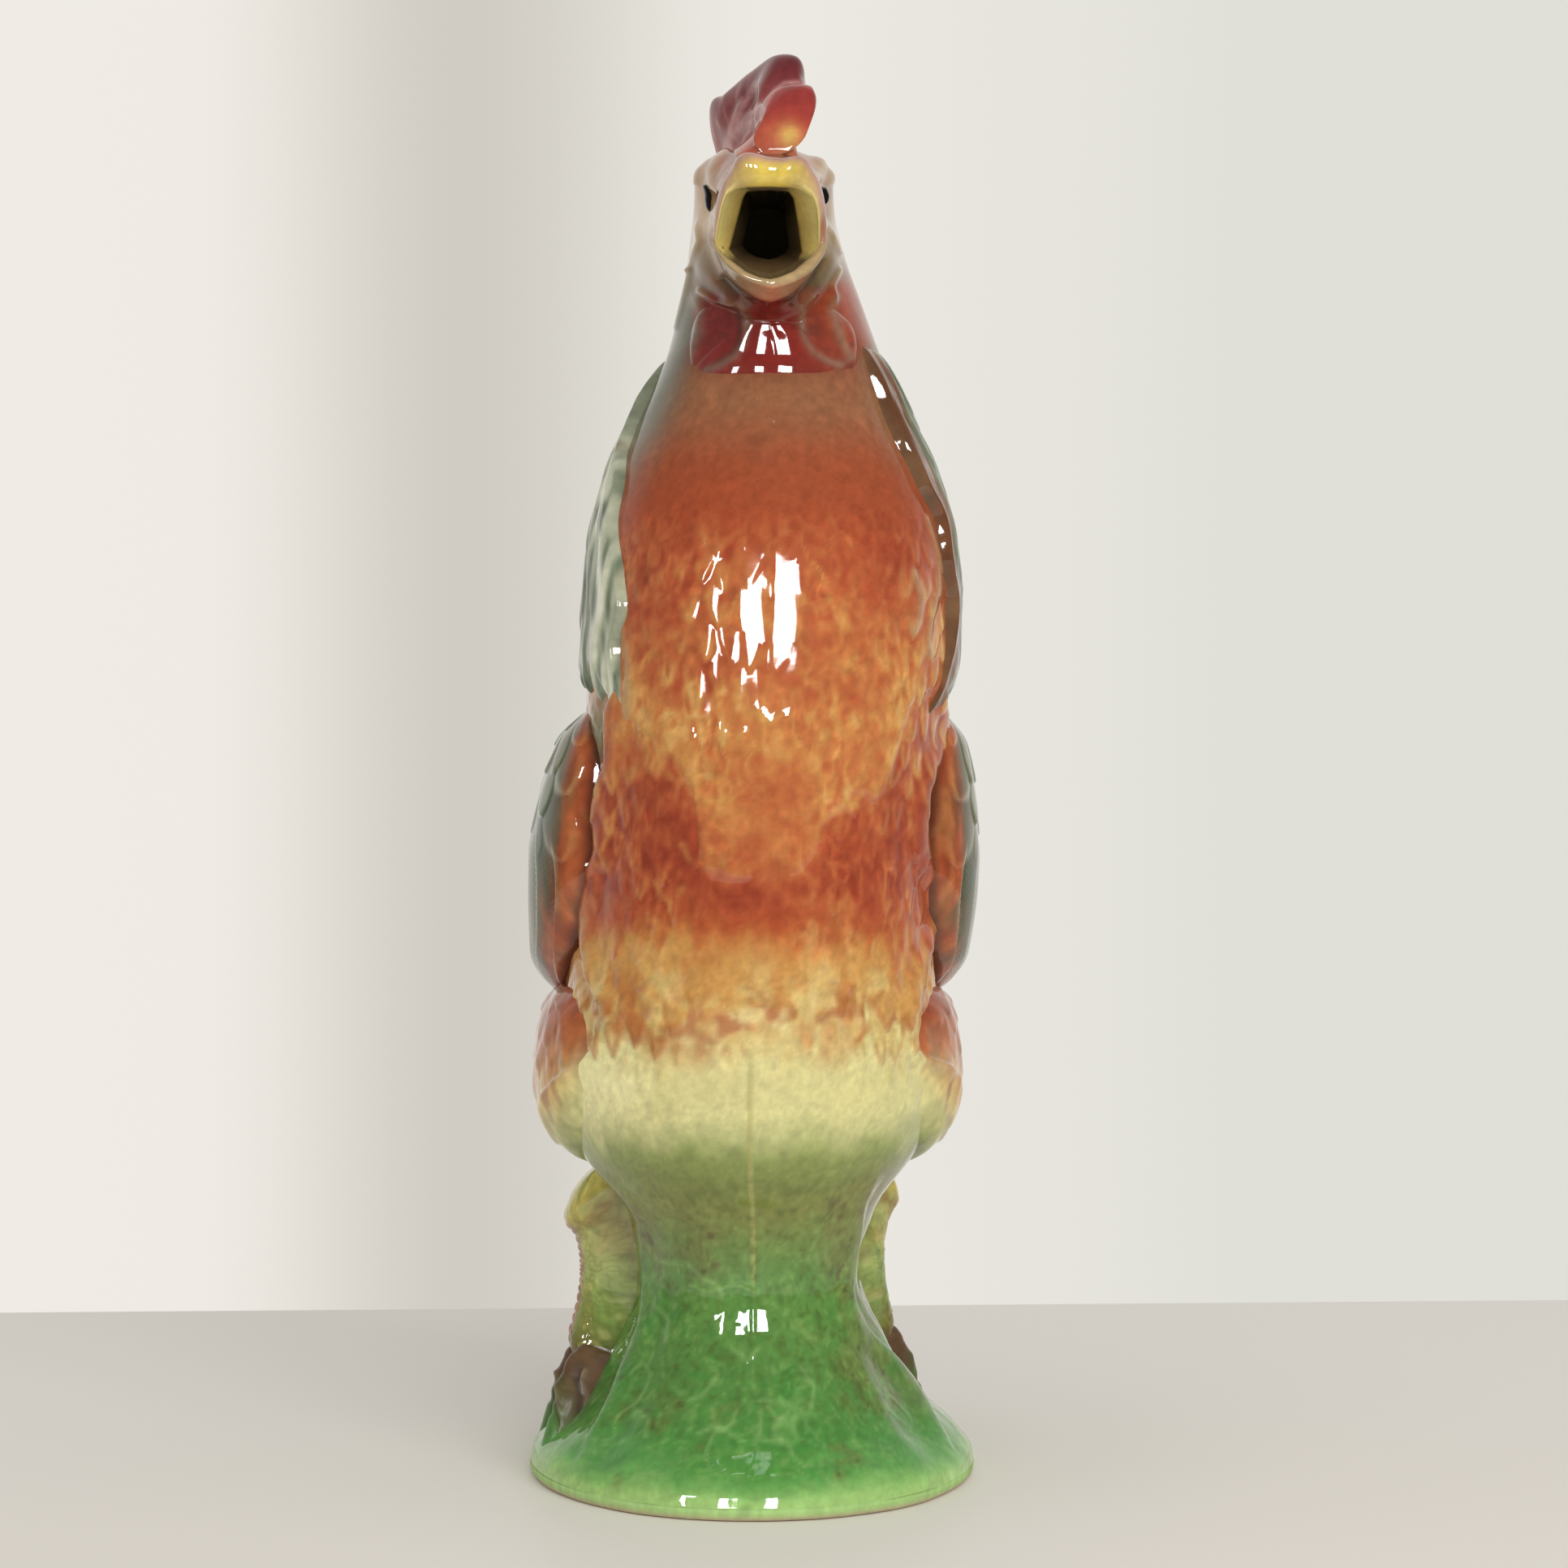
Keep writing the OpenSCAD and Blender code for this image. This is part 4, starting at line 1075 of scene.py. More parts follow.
def world():
    """Plain light; a mirror sees a dim room in front of the bird and the white wall behind it."""
    room = bpy.data.worlds.new("room")
    bpy.context.scene.world = room
    tree = empty_tree(room)
    mirror_colour = (*to_linear((236, 232, 225)), 1)
    out = node_of(tree, "ShaderNodeOutputWorld", (800, 0))
    light = node_of(tree, "ShaderNodeBackground", (0, 300), {"Color": (1, 0.985, 0.96, 1), "Strength": 0.62})
    wall = node_of(tree, "ShaderNodeBackground", (0, 100))
    band = node_of(tree, "ShaderNodeMapRange", (-600, 100), {"From Min": -0.2, "From Max": 0.2})
    shade = node_of(tree, "ShaderNodeValToRGB", (-300, 100))
    ramp = shade.color_ramp
    ramp.interpolation = "EASE"
    for where, colour in WALL_COLOURS:
        ramp.elements.new(where).color = (*to_linear(colour), 1)
    # The ramp's own two stops go
    ramp.elements.remove(ramp.elements[0])
    ramp.elements.remove(ramp.elements[-1])
    mirrored = node_of(tree, "ShaderNodeBackground", (0, -100), {"Color": mirror_colour})
    place = node_of(tree, "ShaderNodeTexCoord", (-800, -200))
    parts = node_of(tree, "ShaderNodeSeparateXYZ", (-600, -200))
    levels = {"From Min": 0.15, "From Max": 1, "To Min": 0.16, "To Max": 1}
    spread = node_of(tree, "ShaderNodeMapRange", (-300, -200), levels, interpolation_type="SMOOTHSTEP")
    path = node_of(tree, "ShaderNodeLightPath", (-600, 500))
    clear = node_of(tree, "ShaderNodeMath", (-100, 500), operation="ADD", use_clamp=True)
    for_mirrors = node_of(tree, "ShaderNodeMixShader", (300, 0))
    for_eyes = node_of(tree, "ShaderNodeMixShader", (550, 0))
    join(
        tree,
        (place, "Generated", parts, "Vector"),
        (parts, "Y", spread, "Value"),
        (parts, "X", band, "Value"),
        (band, "Result", shade, "Fac"),
        (shade, "Color", wall, "Color"),
        (spread, "Result", mirrored, "Strength"),
        (path, "Is Camera Ray", clear, 0),
        (path, "Is Transmission Ray", clear, 1),
        (path, "Is Glossy Ray", for_mirrors, "Fac"),
        (light, 0, for_mirrors, 1),
        (mirrored, 0, for_mirrors, 2),
        (clear, 0, for_eyes, "Fac"),
        (for_mirrors, 0, for_eyes, 1),
        (wall, 0, for_eyes, 2),
        (for_eyes, 0, out, "Surface"),
    )


def area_lamp(name, place, target, width, height, power, gloss=True, soft=True):
    """A flat lamp aimed at a target. Without gloss no mirror shows it; without soft, only mirrors do."""
    lamp = bpy.data.lights.new(name, "AREA")
    lamp.shape = "RECTANGLE"
    lamp.size = width * MM
    lamp.size_y = height * MM
    lamp.energy = power
    piece = bpy.data.objects.new(name, lamp)
    bpy.context.scene.collection.objects.link(piece)
    place, target = np.array(place, float) * MM, np.array(target, float) * MM
    look = unit(target - place)
    side = unit(np.cross(look, [0, 0, 1]))
    up = np.cross(side, look)
    matrix = np.eye(4)
    matrix[:3, 0], matrix[:3, 1], matrix[:3, 2], matrix[:3, 3] = side, up, -look, place
    piece.matrix_world = [list(column) for column in matrix.T]
    piece.visible_diffuse = soft
    piece.visible_glossy = gloss
    piece.visible_camera = False


def lights():
    """A broad lamp for the clay and three windows that only the glaze mirrors."""
    chest = (0, -50, 190)
    area_lamp("key", (700, -1700, 1100), chest, width=1400, height=1200, power=19, gloss=False)
    for name, x in (("window_left", -430), ("window_right", 180)):
        area_lamp(name, (x, -1500, 760), chest, width=270, height=430, power=12, soft=False)
    area_lamp("side_window", (-1020, -1100, 740), chest, width=170, height=400, power=6, soft=False)


lens, sensor_w = 78.5, 36


def camera():
    """Stands where the drawing on the front is seen from, turned by the same angle."""
    turn = math.radians(look_turn)
    x = look_x * math.cos(turn) - look_far * math.sin(turn)
    y = -look_x * math.sin(turn) - look_far * math.cos(turn)
    data = bpy.data.cameras.new("camera")
    data.lens, data.sensor_width = lens, sensor_w
    piece = bpy.data.objects.new("camera", data)
    bpy.context.scene.collection.objects.link(piece)
    piece.location = tuple(np.round([x, y, look_z], 1) * MM)
    piece.rotation_euler = (math.radians(90), 0, -turn)
    bpy.context.scene.camera = piece


# The vessel

def vessel():
    """The four lengths of the wall, with the closest rows on the wrinkled base."""
    floor_z = foot_h + floor_t
    vessel_length("base", "base_glaze", foot_h, waist_z, spacing=0.62, inner_start=floor_z)
    vessel_length("body", "body_glaze", waist_z, neck_z, spacing=0.85)
    vessel_length("neck", "neck_glaze", neck_z, throat_z, spacing=0.8)
    vessel_length("head", "head_glaze", throat_z, at_tilt(beak_tilt), spacing=0.8)


# Applied pieces that lie on the skin

# Each row: share of the length, then the middle, the half width and the rise as shares of the piece's own
WING_shares = [
    [0, -0.3, 0.3, 0.2], [0.12, -0.22, 0.68, 0.62], [0.35, -0.05, 0.95, 1],
    [0.6, 0, 1, 1.04], [0.8, 0.08, 0.86, 0.96], [0.92, 0.14, 0.6, 0.88], [1, 0.16, 0.36, 0.72],
]
THIGH_shares = [
    [0, 0.05, 0.66, 0.8], [0.2, 0, 0.95, 1], [0.5, 0, 1, 1], [0.8, 0.05, 0.85, 0.95], [1, 0.1, 0.5, 0.6],
]
LEG_shares = [
    [0, 0, 1.05, 0.8], [0.2, 0, 0.9, 0.88], [0.6, 0, 0.95, 1], [0.9, 0, 1.15, 0.95], [1, 0, 1.1, 0.8],
]
TOE_shares = [[0, 0, 0.72, 0.85], [0.25, 0, 0.85, 1], [0.6, 0, 0.85, 0.85], [1, 0, 0.4, 0.2]]
TAIL_shares = [
    [0, 0, 0.7, 0.3], [0.12, 0, 0.95, 0.72], [0.35, 0, 1, 1], [0.6, 0, 0.82, 0.92],
    [0.85, 0, 0.66, 0.55], [1, 0, 0.4, 0.12],
]
WATTLE_shares = [
    [0, 0.05, 0.5, 0.7], [0.2, 0, 0.9, 1], [0.5, 0, 1, 1], [0.8, 0.05, 0.8, 0.9], [1, 0.1, 0.5, 0.6],
]
LAPPET_shares = [[0, 0, 0.86, 0.8], [0.06, 0, 1, 1], [0.16, 0, 0.9, 1], [0.34, 0, 0.42, 1], [1, 0, 0.36, 0.9]]
EYE_shares = [[0, 0, 0.4, 0.2], [0.25, 0, 0.87, 0.8], [0.5, 0, 1, 1], [0.75, 0, 0.87, 0.8], [1, 0, 0.4, 0.2]]

# How far the edges of an applied piece sink into the skin
sink = 0.9


def closed_shell(name, slot, node, top, bottom, colour, material):
    """A closed piece between two grids of points with the same rows and columns."""
    rows, columns = top.shape[:2]
    quads, places = grid_quads(rows, columns)
    count = rows * columns
    grid = np.arange(count).reshape(rows, columns)
    rim = np.concatenate([grid[0, :-1], grid[:-1, -1], grid[-1, :0:-1], grid[:0:-1, 0]])
    after = np.roll(rim, -1)
    walls = np.stack([after, rim, rim + count, after + count], -1)
    faces = np.concatenate([quads, quads[:, ::-1] + count, walls])
    u, v = places[..., 1] / (columns - 1), places[..., 0] / (rows - 1)
    upper = np.stack([0.01 + u * 0.98, 0.01 + v * 0.83], -1)
    lower = np.stack([0.01 + u * 0.98, 0.87 + v * 0.1], -1)[:, ::-1]
    border = np.zeros((len(walls), 4, 2)) + 0.99
    uv = np.concatenate([upper, lower, border])
    piece = new_mesh(name, np.stack([top, bottom]), faces, uv, np.stack([colour, colour]), material)
    belongs(piece, slot, node)


def round_end(share, reach):
    """Rises from 0 to 1 over the reach in a quarter circle."""
    return np.sqrt(np.clip(1 - (1 - np.clip(share / reach, 0, 1)) ** 2, 0, 1))


def applied(name, slot, node, material, detail, table, start, end, middle, arc, rise, spacing,
            mirrored=False, ends=(0.12, 0.12), edge=0.1, thick=1.6, blunt=2, follow=0):
    """A piece that lies on the skin from start to end along it, as wide and high as its table says. detail
    gives what its relief adds, and its colour. It rounds off over the shares in ends and edge, goes into the
    wall by thick, has a squarer section the more blunt it is, and can follow the wall's own relief."""
    width = arc * Spots((start + end) / 2, middle).per_degree * 2
    rows = int(abs(end - start) / spacing) + 2
    columns = int((width * 1.15 + rise * 1.6) / spacing) + 2
    along = np.linspace(0, 1, rows)[:, None]
    across = np.cos(np.pi * np.linspace(0, 1, columns))[None, :]
    row = blend(table, along + 0 * across)
    turn = middle + arc * (row[..., 1] + row[..., 2] * across)
    turn = 180 - turn if mirrored else turn
    spots = Spots(mix(start, end, along) + 0 * across, turn)
    dome = np.clip(1 - np.abs(across) ** blunt, 0, 1) ** (1 / blunt) * row[..., 3]
    cap = round_end(along, ends[0]) * round_end(1 - along, ends[1]) * round_end(1 - np.abs(across), edge)
    extra, colour = detail(spots, along + 0 * across, across + 0 * along)
    height = -sink + (sink + rise * dome + extra) * cap
    base = vessel_relief(spots) * np.maximum(1 - cap, follow)
    top = spots.point + spots.out * (base + height)[..., None]
    bottom = spots.point - spots.out * (sink + thick)
    if (start > end) == (not mirrored):
        top, bottom, colour = top[:, ::-1], bottom[:, ::-1], colour[:, ::-1]
    closed_shell(name, slot, node, top, bottom, colour, material)


def lifted(spots, across, rise, blunt=2.0):
    """Points on top of a piece that stands out by its rise."""
    share = np.clip(1 - np.abs(across) ** blunt, 0, 1) ** (1 / blunt)
    return spots.point + spots.out * (rise * share)[..., None]


def barbs(side, tip, fine):
    """Fine ribs that leave a feather's shaft at a slant."""
    return np.cos((np.abs(side) * 2.2 + tip * 2.6) * fine * np.pi)


def long_plumes(across, count, seed):
    """Long feathers side by side, each laid over the next: height, place in its width, and a tint."""
    table = np.random.default_rng(seed).random(64)
    place = across * count
    order = np.floor(place)
    share = place - order
    height = share ** 0.8 * (1 - step(share, 0.86, 1))
    return height, share, table[order.astype(int) % 64]


def wing_detail(spots, along, across):
    """A smooth shoulder with a few broad coverts, then long feathers that sweep down and back."""
    point = lifted(spots, across, wing_t)
    warp = noise(point, 22, 101)
    column, row = across * 3.4 + along * 1.6 + 0.25 * warp, along * 5.2 - across * 0.9 + 0.3 * warp
    plume = feathers(column, row, 1.5, 102, soft=0.2)
    long_height, place, tint = long_plumes(0.5 + 0.5 * across + 0.2 * along + 0.03 * warp, 9, 103)
    share = step(along + 0.16 * across, 0.3, 0.44)
    ribs = barbs(place - 0.5, along * 9, 4)
    height = mix(0.8 * plume.height, long_height + 0.05 * ribs, share)
    lines = mix(plume.rim, hill(place, 0.86, 0.16), share)
    tip = mix(plume.tip, place, share)
    green = from_stops([(0, (40, 66, 50)), (0.4, (52, 78, 60)), (1, (76, 100, 80))], tip)
    green = layers(
        green * (0.86 + 0.28 * mix(plume.tint, tint, share))[..., None],
        ((92, 80, 48), 0.85 * step(0.5 * brushed(point, 4, 105, 4) - across, 0.15, 0.7)),
        ((166, 180, 156), 0.75 * lines),
        ((58, 72, 92), 0.35 * step(across, 0.1, 0.8) * step(tint, 0.3, 0.9)),
    )
    orange = layers(
        from_stops([(0, (146, 66, 40)), (1, (182, 98, 56))], 0.5 + 0.6 * brushed(point, 3.4, 106, 3)),
        ((206, 146, 90), 0.6 * plume.rim * (1 - 0.4 * share)),
        ((128, 92, 54), 0.5 * step(brushed(point, 3, 107, 4), 0.1, 0.9)),
        ((196, 124, 72), 0.5 * step(brushed(point, 2, 109, 3), 0.1, 0.9)),
        # Painted shadow: a dark strip along the wing's front edge, under the breast's edge
        ((66, 38, 26), 0.8 * step(-across, 0.95, 1)),
    )
    front = step(-across + 0.12 * warp + 0.09 * brushed(point, 4, 108), 0.74, 0.94)
    return height, grained(mix(green, orange, front[..., None]), point, 0.08, 2, 104)


# Up the thigh
THIGH_COLOURS = [
    (70, (170, 172, 106)), (77, (206, 202, 136)), (87, (220, 204, 134)), (94, (214, 166, 92)),
    (101, (198, 128, 74)), (109, (180, 100, 60)), (118, (158, 78, 50)),
]


def thigh_detail(spots, along, across):
    """Soft tufts, orange above and cream below."""
    point = lifted(spots, across, thigh_t)
    warp = noise(point, 14, 111)
    plume = feathers(across * 2.3 + 0.4 * warp, along * 3.2 + 0.3 * warp, 1.5, 112, soft=0.3)
    strands = brushed(point, 2.2, 115, 3.4)
    height = 1.1 * plume.height + 0.1 * strands - 0.3 * plume.rim
    level = spots.z + (3 * warp + 2.6 * strands + 2 * noise(point, 4, 113) + (plume.tip - 0.5) * 7)
    near = step(-across, 0.6, 1) * (1 - step(spots.z, 96, 108))
    colour = layers(
        from_stops(THIGH_COLOURS, level),
        ((134, 60, 40), 0.5 * step(-strands, 0.1, 0.7) * step(spots.z, 84, 96)),
        ((176, 164, 144), 0.45 * plume.rim * step(-across, -0.4, 0.4)),
        ((132, 84, 58), 0.5 * step(across, -0.1, 0.7)),
        ((92, 100, 74), 0.75 * step(across, 0.4, 0.95)),
    )
    colour = mix(colour, from_stops(FRONT_COLOURS, level), near[..., None])
    return height, grained(colour, point, 0.08, 2, 114)


# Up the shank
LEG_COLOURS = [
    (0, (104, 88, 52)), (0.1, (126, 124, 66)), (0.26, (138, 164, 84)), (0.55, (176, 186, 108)),
    (0.78, (186, 184, 110)), (0.86, (170, 146, 84)), (0.92, (214, 196, 104)), (1, (216, 206, 126)),
]


def leg_detail(spots, along, across):
    """A scaly shank, pale on its broad faces and red-brown along its beaded edge. Along runs up."""
    point = lifted(spots, across, leg_t, 2.6)
    warp = noise(point, 4, 121)
    pebbles = step(np.abs(noise(point * [1, 1, 1.2], 1.5, 124)), -0.1, 0.45)
    scars = step(noise(point, 2.2, 127) + 0.4 * noise(point, 1, 128), 0, 0.7)
    beads = np.abs(np.sin(np.pi * (along * 19 + 0.4 * warp))) ** 0.6
    crest = 1 - step(np.abs(across), 0.16, 0.4)
    height = mix(0.22 * pebbles + 0.15 * warp, 0.5 * beads, crest)
    height = height + 1.6 * hill(along, 0.93, 0.16) + 1.6 * hill(along, 0.45, 0.5)
    rust = 1 - step(np.abs(across), 0.3, 0.62) + 0.2 * step(noise(point, 5, 125), 0.1, 0.7)
    below_hock = 1 - step(along, 0.84, 0.95)
    colour = layers(
        from_stops(LEG_COLOURS, along + 0.03 * warp),
        ((104, 104, 50), 0.26 * (1 - pebbles)),
        ((198, 200, 126), 0.6 * scars * (1 - crest)),
        ((96, 120, 62), 0.4 * step(noise(point, 3, 129), 0.1, 0.8)),
        ((152, 82, 50), 0.8 * rust * below_hock),
        ((184, 130, 84), 0.4 * crest * step(beads, 0.7, 1) * below_hock),
        ((94, 68, 48), 0.8 * (1 - step(along, 0.02, 0.16))),
    )
    return height, grained(colour, point, 0.08, 2, 123)


# Creases between the toes, as they show from the front
TOE_LINES = [
    [(-49.0, 24.6), (-47.7, 20.9), (-48.2, 15.6), (-48.5, 9.0), (-50.0, 4.5)],
    [(-40.0, 22.5), (-41.3, 20.1), (-40.8, 16.4), (-41.9, 11.5), (-43.8, 7.0)],
    [(35.3, 24.6), (39.9, 18.0), (45.2, 10.7), (49.3, 4.9)],
]


# Up the toes from the ground
TOE_COLOURS = [
    (6, (92, 150, 78)), (10, (84, 126, 64)), (14, (92, 92, 56)), (19, (102, 78, 56)), (27, (106, 82, 58)),
    (33, (92, 74, 50)),
]


def toe_detail(spots, along, across):
    """A knuckled toe with rings of scales and a claw, brown above and green where it reaches the ground, with
    painted shade in the grooves between the toes.
    """
    point = lifted(spots, across, toe_t - 2)
    view = seen(point)
    rings = np.abs(np.sin(np.pi * (along * 8 + 0.5 * noise(point, 5, 133)))) ** 0.5
    claw = step(along, 0.7, 0.78)
    knuckles = 0.5 * hill(along, 0.28, 0.16) + 0.4 * hill(along, 0.56, 0.12)
    ridges = strokes(view, TOE_LINES, 0.9)
    gaps = strokes(view, [np.array(path) + [-1.3, 0] for path in TOE_LINES], 1.2)
    height = 0.16 * rings * (1 - claw) + knuckles - 0.7 * hill(along, 0.74, 0.05) + 0.4 * ridges - 0.5 * gaps
    height = height - 1.2 * step(along, 0.6, 1)
    colour = layers(
        from_stops(TOE_COLOURS, spots.z + 2.5 * noise(point, 5, 131)),
        ((158, 142, 116), 0.45 * ridges),
        # Painted shade: dark lines in the grooves between the toes
        ((54, 44, 34), 0.6 * gaps * step(spots.z, 10, 16)),
        ((86, 60, 46), 0.25 * (1 - rings) * (1 - claw)),
    )
    return height, grained(colour, point, 0.08, 2, 132)


def tail_detail(spots, along, across):
    """Long hanging feathers, side by side, with the middle ones on top. Along runs up from the tips."""
    point = lifted(spots, across, tail_t)
    bend = across * 4 + 0.2 * np.sin(along * 5)
    side = bend - np.round(bend)
    crown = np.clip(1 - (side / 0.5) ** 2, 0, 1) ** 0.6
    rows = feathers(across * 4, (1 - along) * 6, 1.7, 141)
    root = step(along, 0.62, 0.85)
    shaft = 1 - step(np.abs(side), 0.02, 0.07)
    height = mix(2.2 * crown + 0.06 * barbs(side, along * 5, 9) + 0.25 * shaft - 1.6, rows.height, root)
    tip = mix(1 - along, rows.tip, root)
    colour = layers(
        from_stops([(0, (66, 84, 58)), (0.5, (50, 76, 62)), (0.85, (56, 70, 84)), (1, (96, 104, 104))], tip),
        ((134, 148, 122), 0.5 * step(np.abs(side), 0.36, 0.5) * (1 - root)),
        ((112, 84, 54), 0.5 * step(brushed(point, 5, 143, 3), 0.2, 0.9) * root),
    )
    return height, grained(colour, point, 0.1, 2.4, 142)


# Sizes of the applied pieces, as in the construction
wing_angle, wing_arc, wing_t = 18, 43, 12.2
thigh_angle, thigh_arc, thigh_t, thigh_low_z = 8, 42, 5.5, 74.5
leg_w, leg_t = 11, 14
toe_w, toe_t, toe_high_z, toe_low_z, toe_root_angle, toe_tip_angle = 8, 9.5, 27, 6, 12.5, 19
tail_arc, tail_t, tail_low_z = 34, 27, 72
leg_angles = {"left": 39, "right": 174}
foot_angles = {"left": 47, "right": 174}
wattle_low_z, wattle_high_tilt = 267, 33
wattle_places = {"right": (236, 23), "left": (298, 20)}
lappet_low_z, lappet_high_tilt, lappet_angle, lappet_arc = 265.5, 24, 263, 40
wattle_rise = 1
eye_tilts = {"right": (69, 76), "left": (75, 80)}
eye_places = {"right": 168.5, "left": 376}
eye_arcs, eye_ts = {"right": 9, "left": 7}, {"right": 1.2, "left": 2.2}


# How far the visible pieces pass the solids' ends, or stay under their thickness
wing_past, wing_under, thigh_past, leg_past, leg_under = 2.5, 0.6, 3.5, 7, 1
toe_past, toe_under, toe_slim, tail_under = 1.5, 0.4, 0.94, 2


def arc_of(width, s):
    """Degrees that a width takes at a place along the skin."""
    return width / (math.pi * (skin(s, 0)[0] - skin(s, 180)[0])) * 360


def wings():
    """Folded wings, the right one a mirror image."""
    material = glaze("wing_glaze")
    for side in ("left", "right"):
        node = side + "_wing"
        applied(
            node + "_feathers", "wing_glaze", node, material, wing_detail, WING_shares,
            start=wing_top_z, end=wing_tip_z - wing_past, middle=wing_angle, arc=wing_arc,
            rise=wing_t - wing_under, spacing=0.55, ends=(0.1, 0.16), mirrored=side == "right",
        )


def thighs():
    """Feathered thighs below the wings, the right one a mirror image."""
    material = glaze("thigh_glaze")
    for side in ("left", "right"):
        node = side + "_thigh"
        applied(
            node + "_feathers", "thigh_glaze", node, material, thigh_detail, THIGH_shares,
            start=high(node)[2] + thigh_past, end=thigh_low_z, middle=thigh_angle, arc=thigh_arc,
            rise=thigh_t, spacing=0.55, ends=(0.2, 0.34), edge=0.3, follow=0.6, mirrored=side == "right",
        )


def legs():
    """Shanks in relief on the waist, which are wider and blunter than the other pieces."""
    material = glaze("leg_glaze")
    for side, angle in leg_angles.items():
        node = side + "_leg"
        applied(
            node + "_scales", "leg_glaze", node, material, leg_detail, LEG_shares,
            start=low(node)[2] - leg_past, end=high(node)[2], middle=angle, arc=arc_of(leg_w, waist_z) / 2,
            rise=leg_t - leg_under, spacing=0.3, ends=(0.14, 0.12), thick=2, blunt=2.6,
        )


def feet():
    """Three toes a side, spreading towards their tips."""
    material = glaze("toe_glaze", roughness=0.3, bend=1.25)
    arc = arc_of(toe_w, toe_high_z) / 2
    for side, angle in foot_angles.items():
        for toe in (-1, 0, 1):
            table = []
            for share, middle, wide, rise in TOE_shares:
                spread = toe * mix(toe_root_angle, toe_tip_angle, share) / arc
                table.append([share, middle + spread, wide * toe_slim, rise])
            applied(
                "%s_toe_%d" % (side, toe + 2), "toe_glaze", side + "_foot", material, toe_detail, table,
                start=toe_high_z + toe_past, end=toe_low_z, middle=angle, arc=arc,
                rise=toe_t - toe_under, spacing=0.3, ends=(0.1, 0.42), thick=1,
            )


def tail():
    """A sheaf of hanging feathers down the middle of the back."""
    applied(
        "tail_feathers", "tail_glaze", "tail", glaze("tail_glaze"), tail_detail, TAIL_shares,
        start=tail_low_z, end=tail_top_z, middle=90, arc=tail_arc,
        rise=tail_t - tail_under, spacing=0.6, ends=(0.08, 0.1), thick=2,
    )


# The cape: its edges on either side of the breast, as (place, angle)
HACKLE_RIGHT = [(181, 228), (185, 224), (191, 220), (201, 216), (212, 219), (224, 215), (232, 209),
                (242.5, 205), (255, 194), (266.6, 184), (276, 178)]
HACKLE_LEFT = [(181, 324), (191.5, 329), (201, 335), (213, 338), (223, 331), (232.6, 331), (240, 325),
               (248, 321), (264, 317), (276, 316)]
hackle_t, hackle_count = 2.6, 30
hackle_spacing, hackle_columns, hackle_row = 0.68, 310, 17
# How far the cape passes its solid above, rises between its tips, droops beside the breast, and goes in
hackle_past, hackle_scallop, hackle_droop, hackle_deep = 4, 4.5, 7, 1.4


def hackle_paint(spots, plume, streak, edge_mm):
    """Grey-green feathers with pale tips, ochre and brown at the left edge and cream at the right one."""
    leftward = step(spots.angle, 60, -30)
    rightward = 1 - leftward
    edge = 1 - step(edge_mm, 3, 13)
    by_edge = leftward * edge
    worn = 0.7 * brushed(spots.point, 5, 154, 3) + mix(0.35, 1.6, leftward) * edge + 0.5 * leftward
    ochre = step(worn, 0.6, 1.3)
    feather = [(0, (84, 96, 74)), (0.5, (104, 116, 92)), (0.85, (134, 142, 116)), (1, (158, 158, 124))]
    colour = layers(
        from_stops(feather, plume.tip) * (0.88 + 0.22 * plume.tint)[..., None],
        ((70, 88, 72), 0.5 * step(-streak, 0.1, 0.8)),
        ((136, 74, 44), 0.8 * ochre),
        ((166, 132, 88), 0.4 * step(streak, 0.2, 0.8) * ochre),
        ((172, 150, 112), 0.6 * step(streak, 0.25, 0.7) * by_edge),
        ((92, 62, 42), 0.6 * step(-streak, 0.15, 0.7) * by_edge),
        ((150, 152, 126), 0.6 * (1 - step(edge_mm, 0.6, 2.6))),
        ((102, 62, 38), 0.65 * by_edge),
        ((240, 240, 212), 0.9 * hill(edge_mm, 9, 18) * rightward * step(streak, -1, 0.4)),
        ((96, 104, 84), 0.5 * step(spots.s, 246, 264) * rightward),
    )
    return grained(colour, spots.point, 0.08, 2.2, 155)


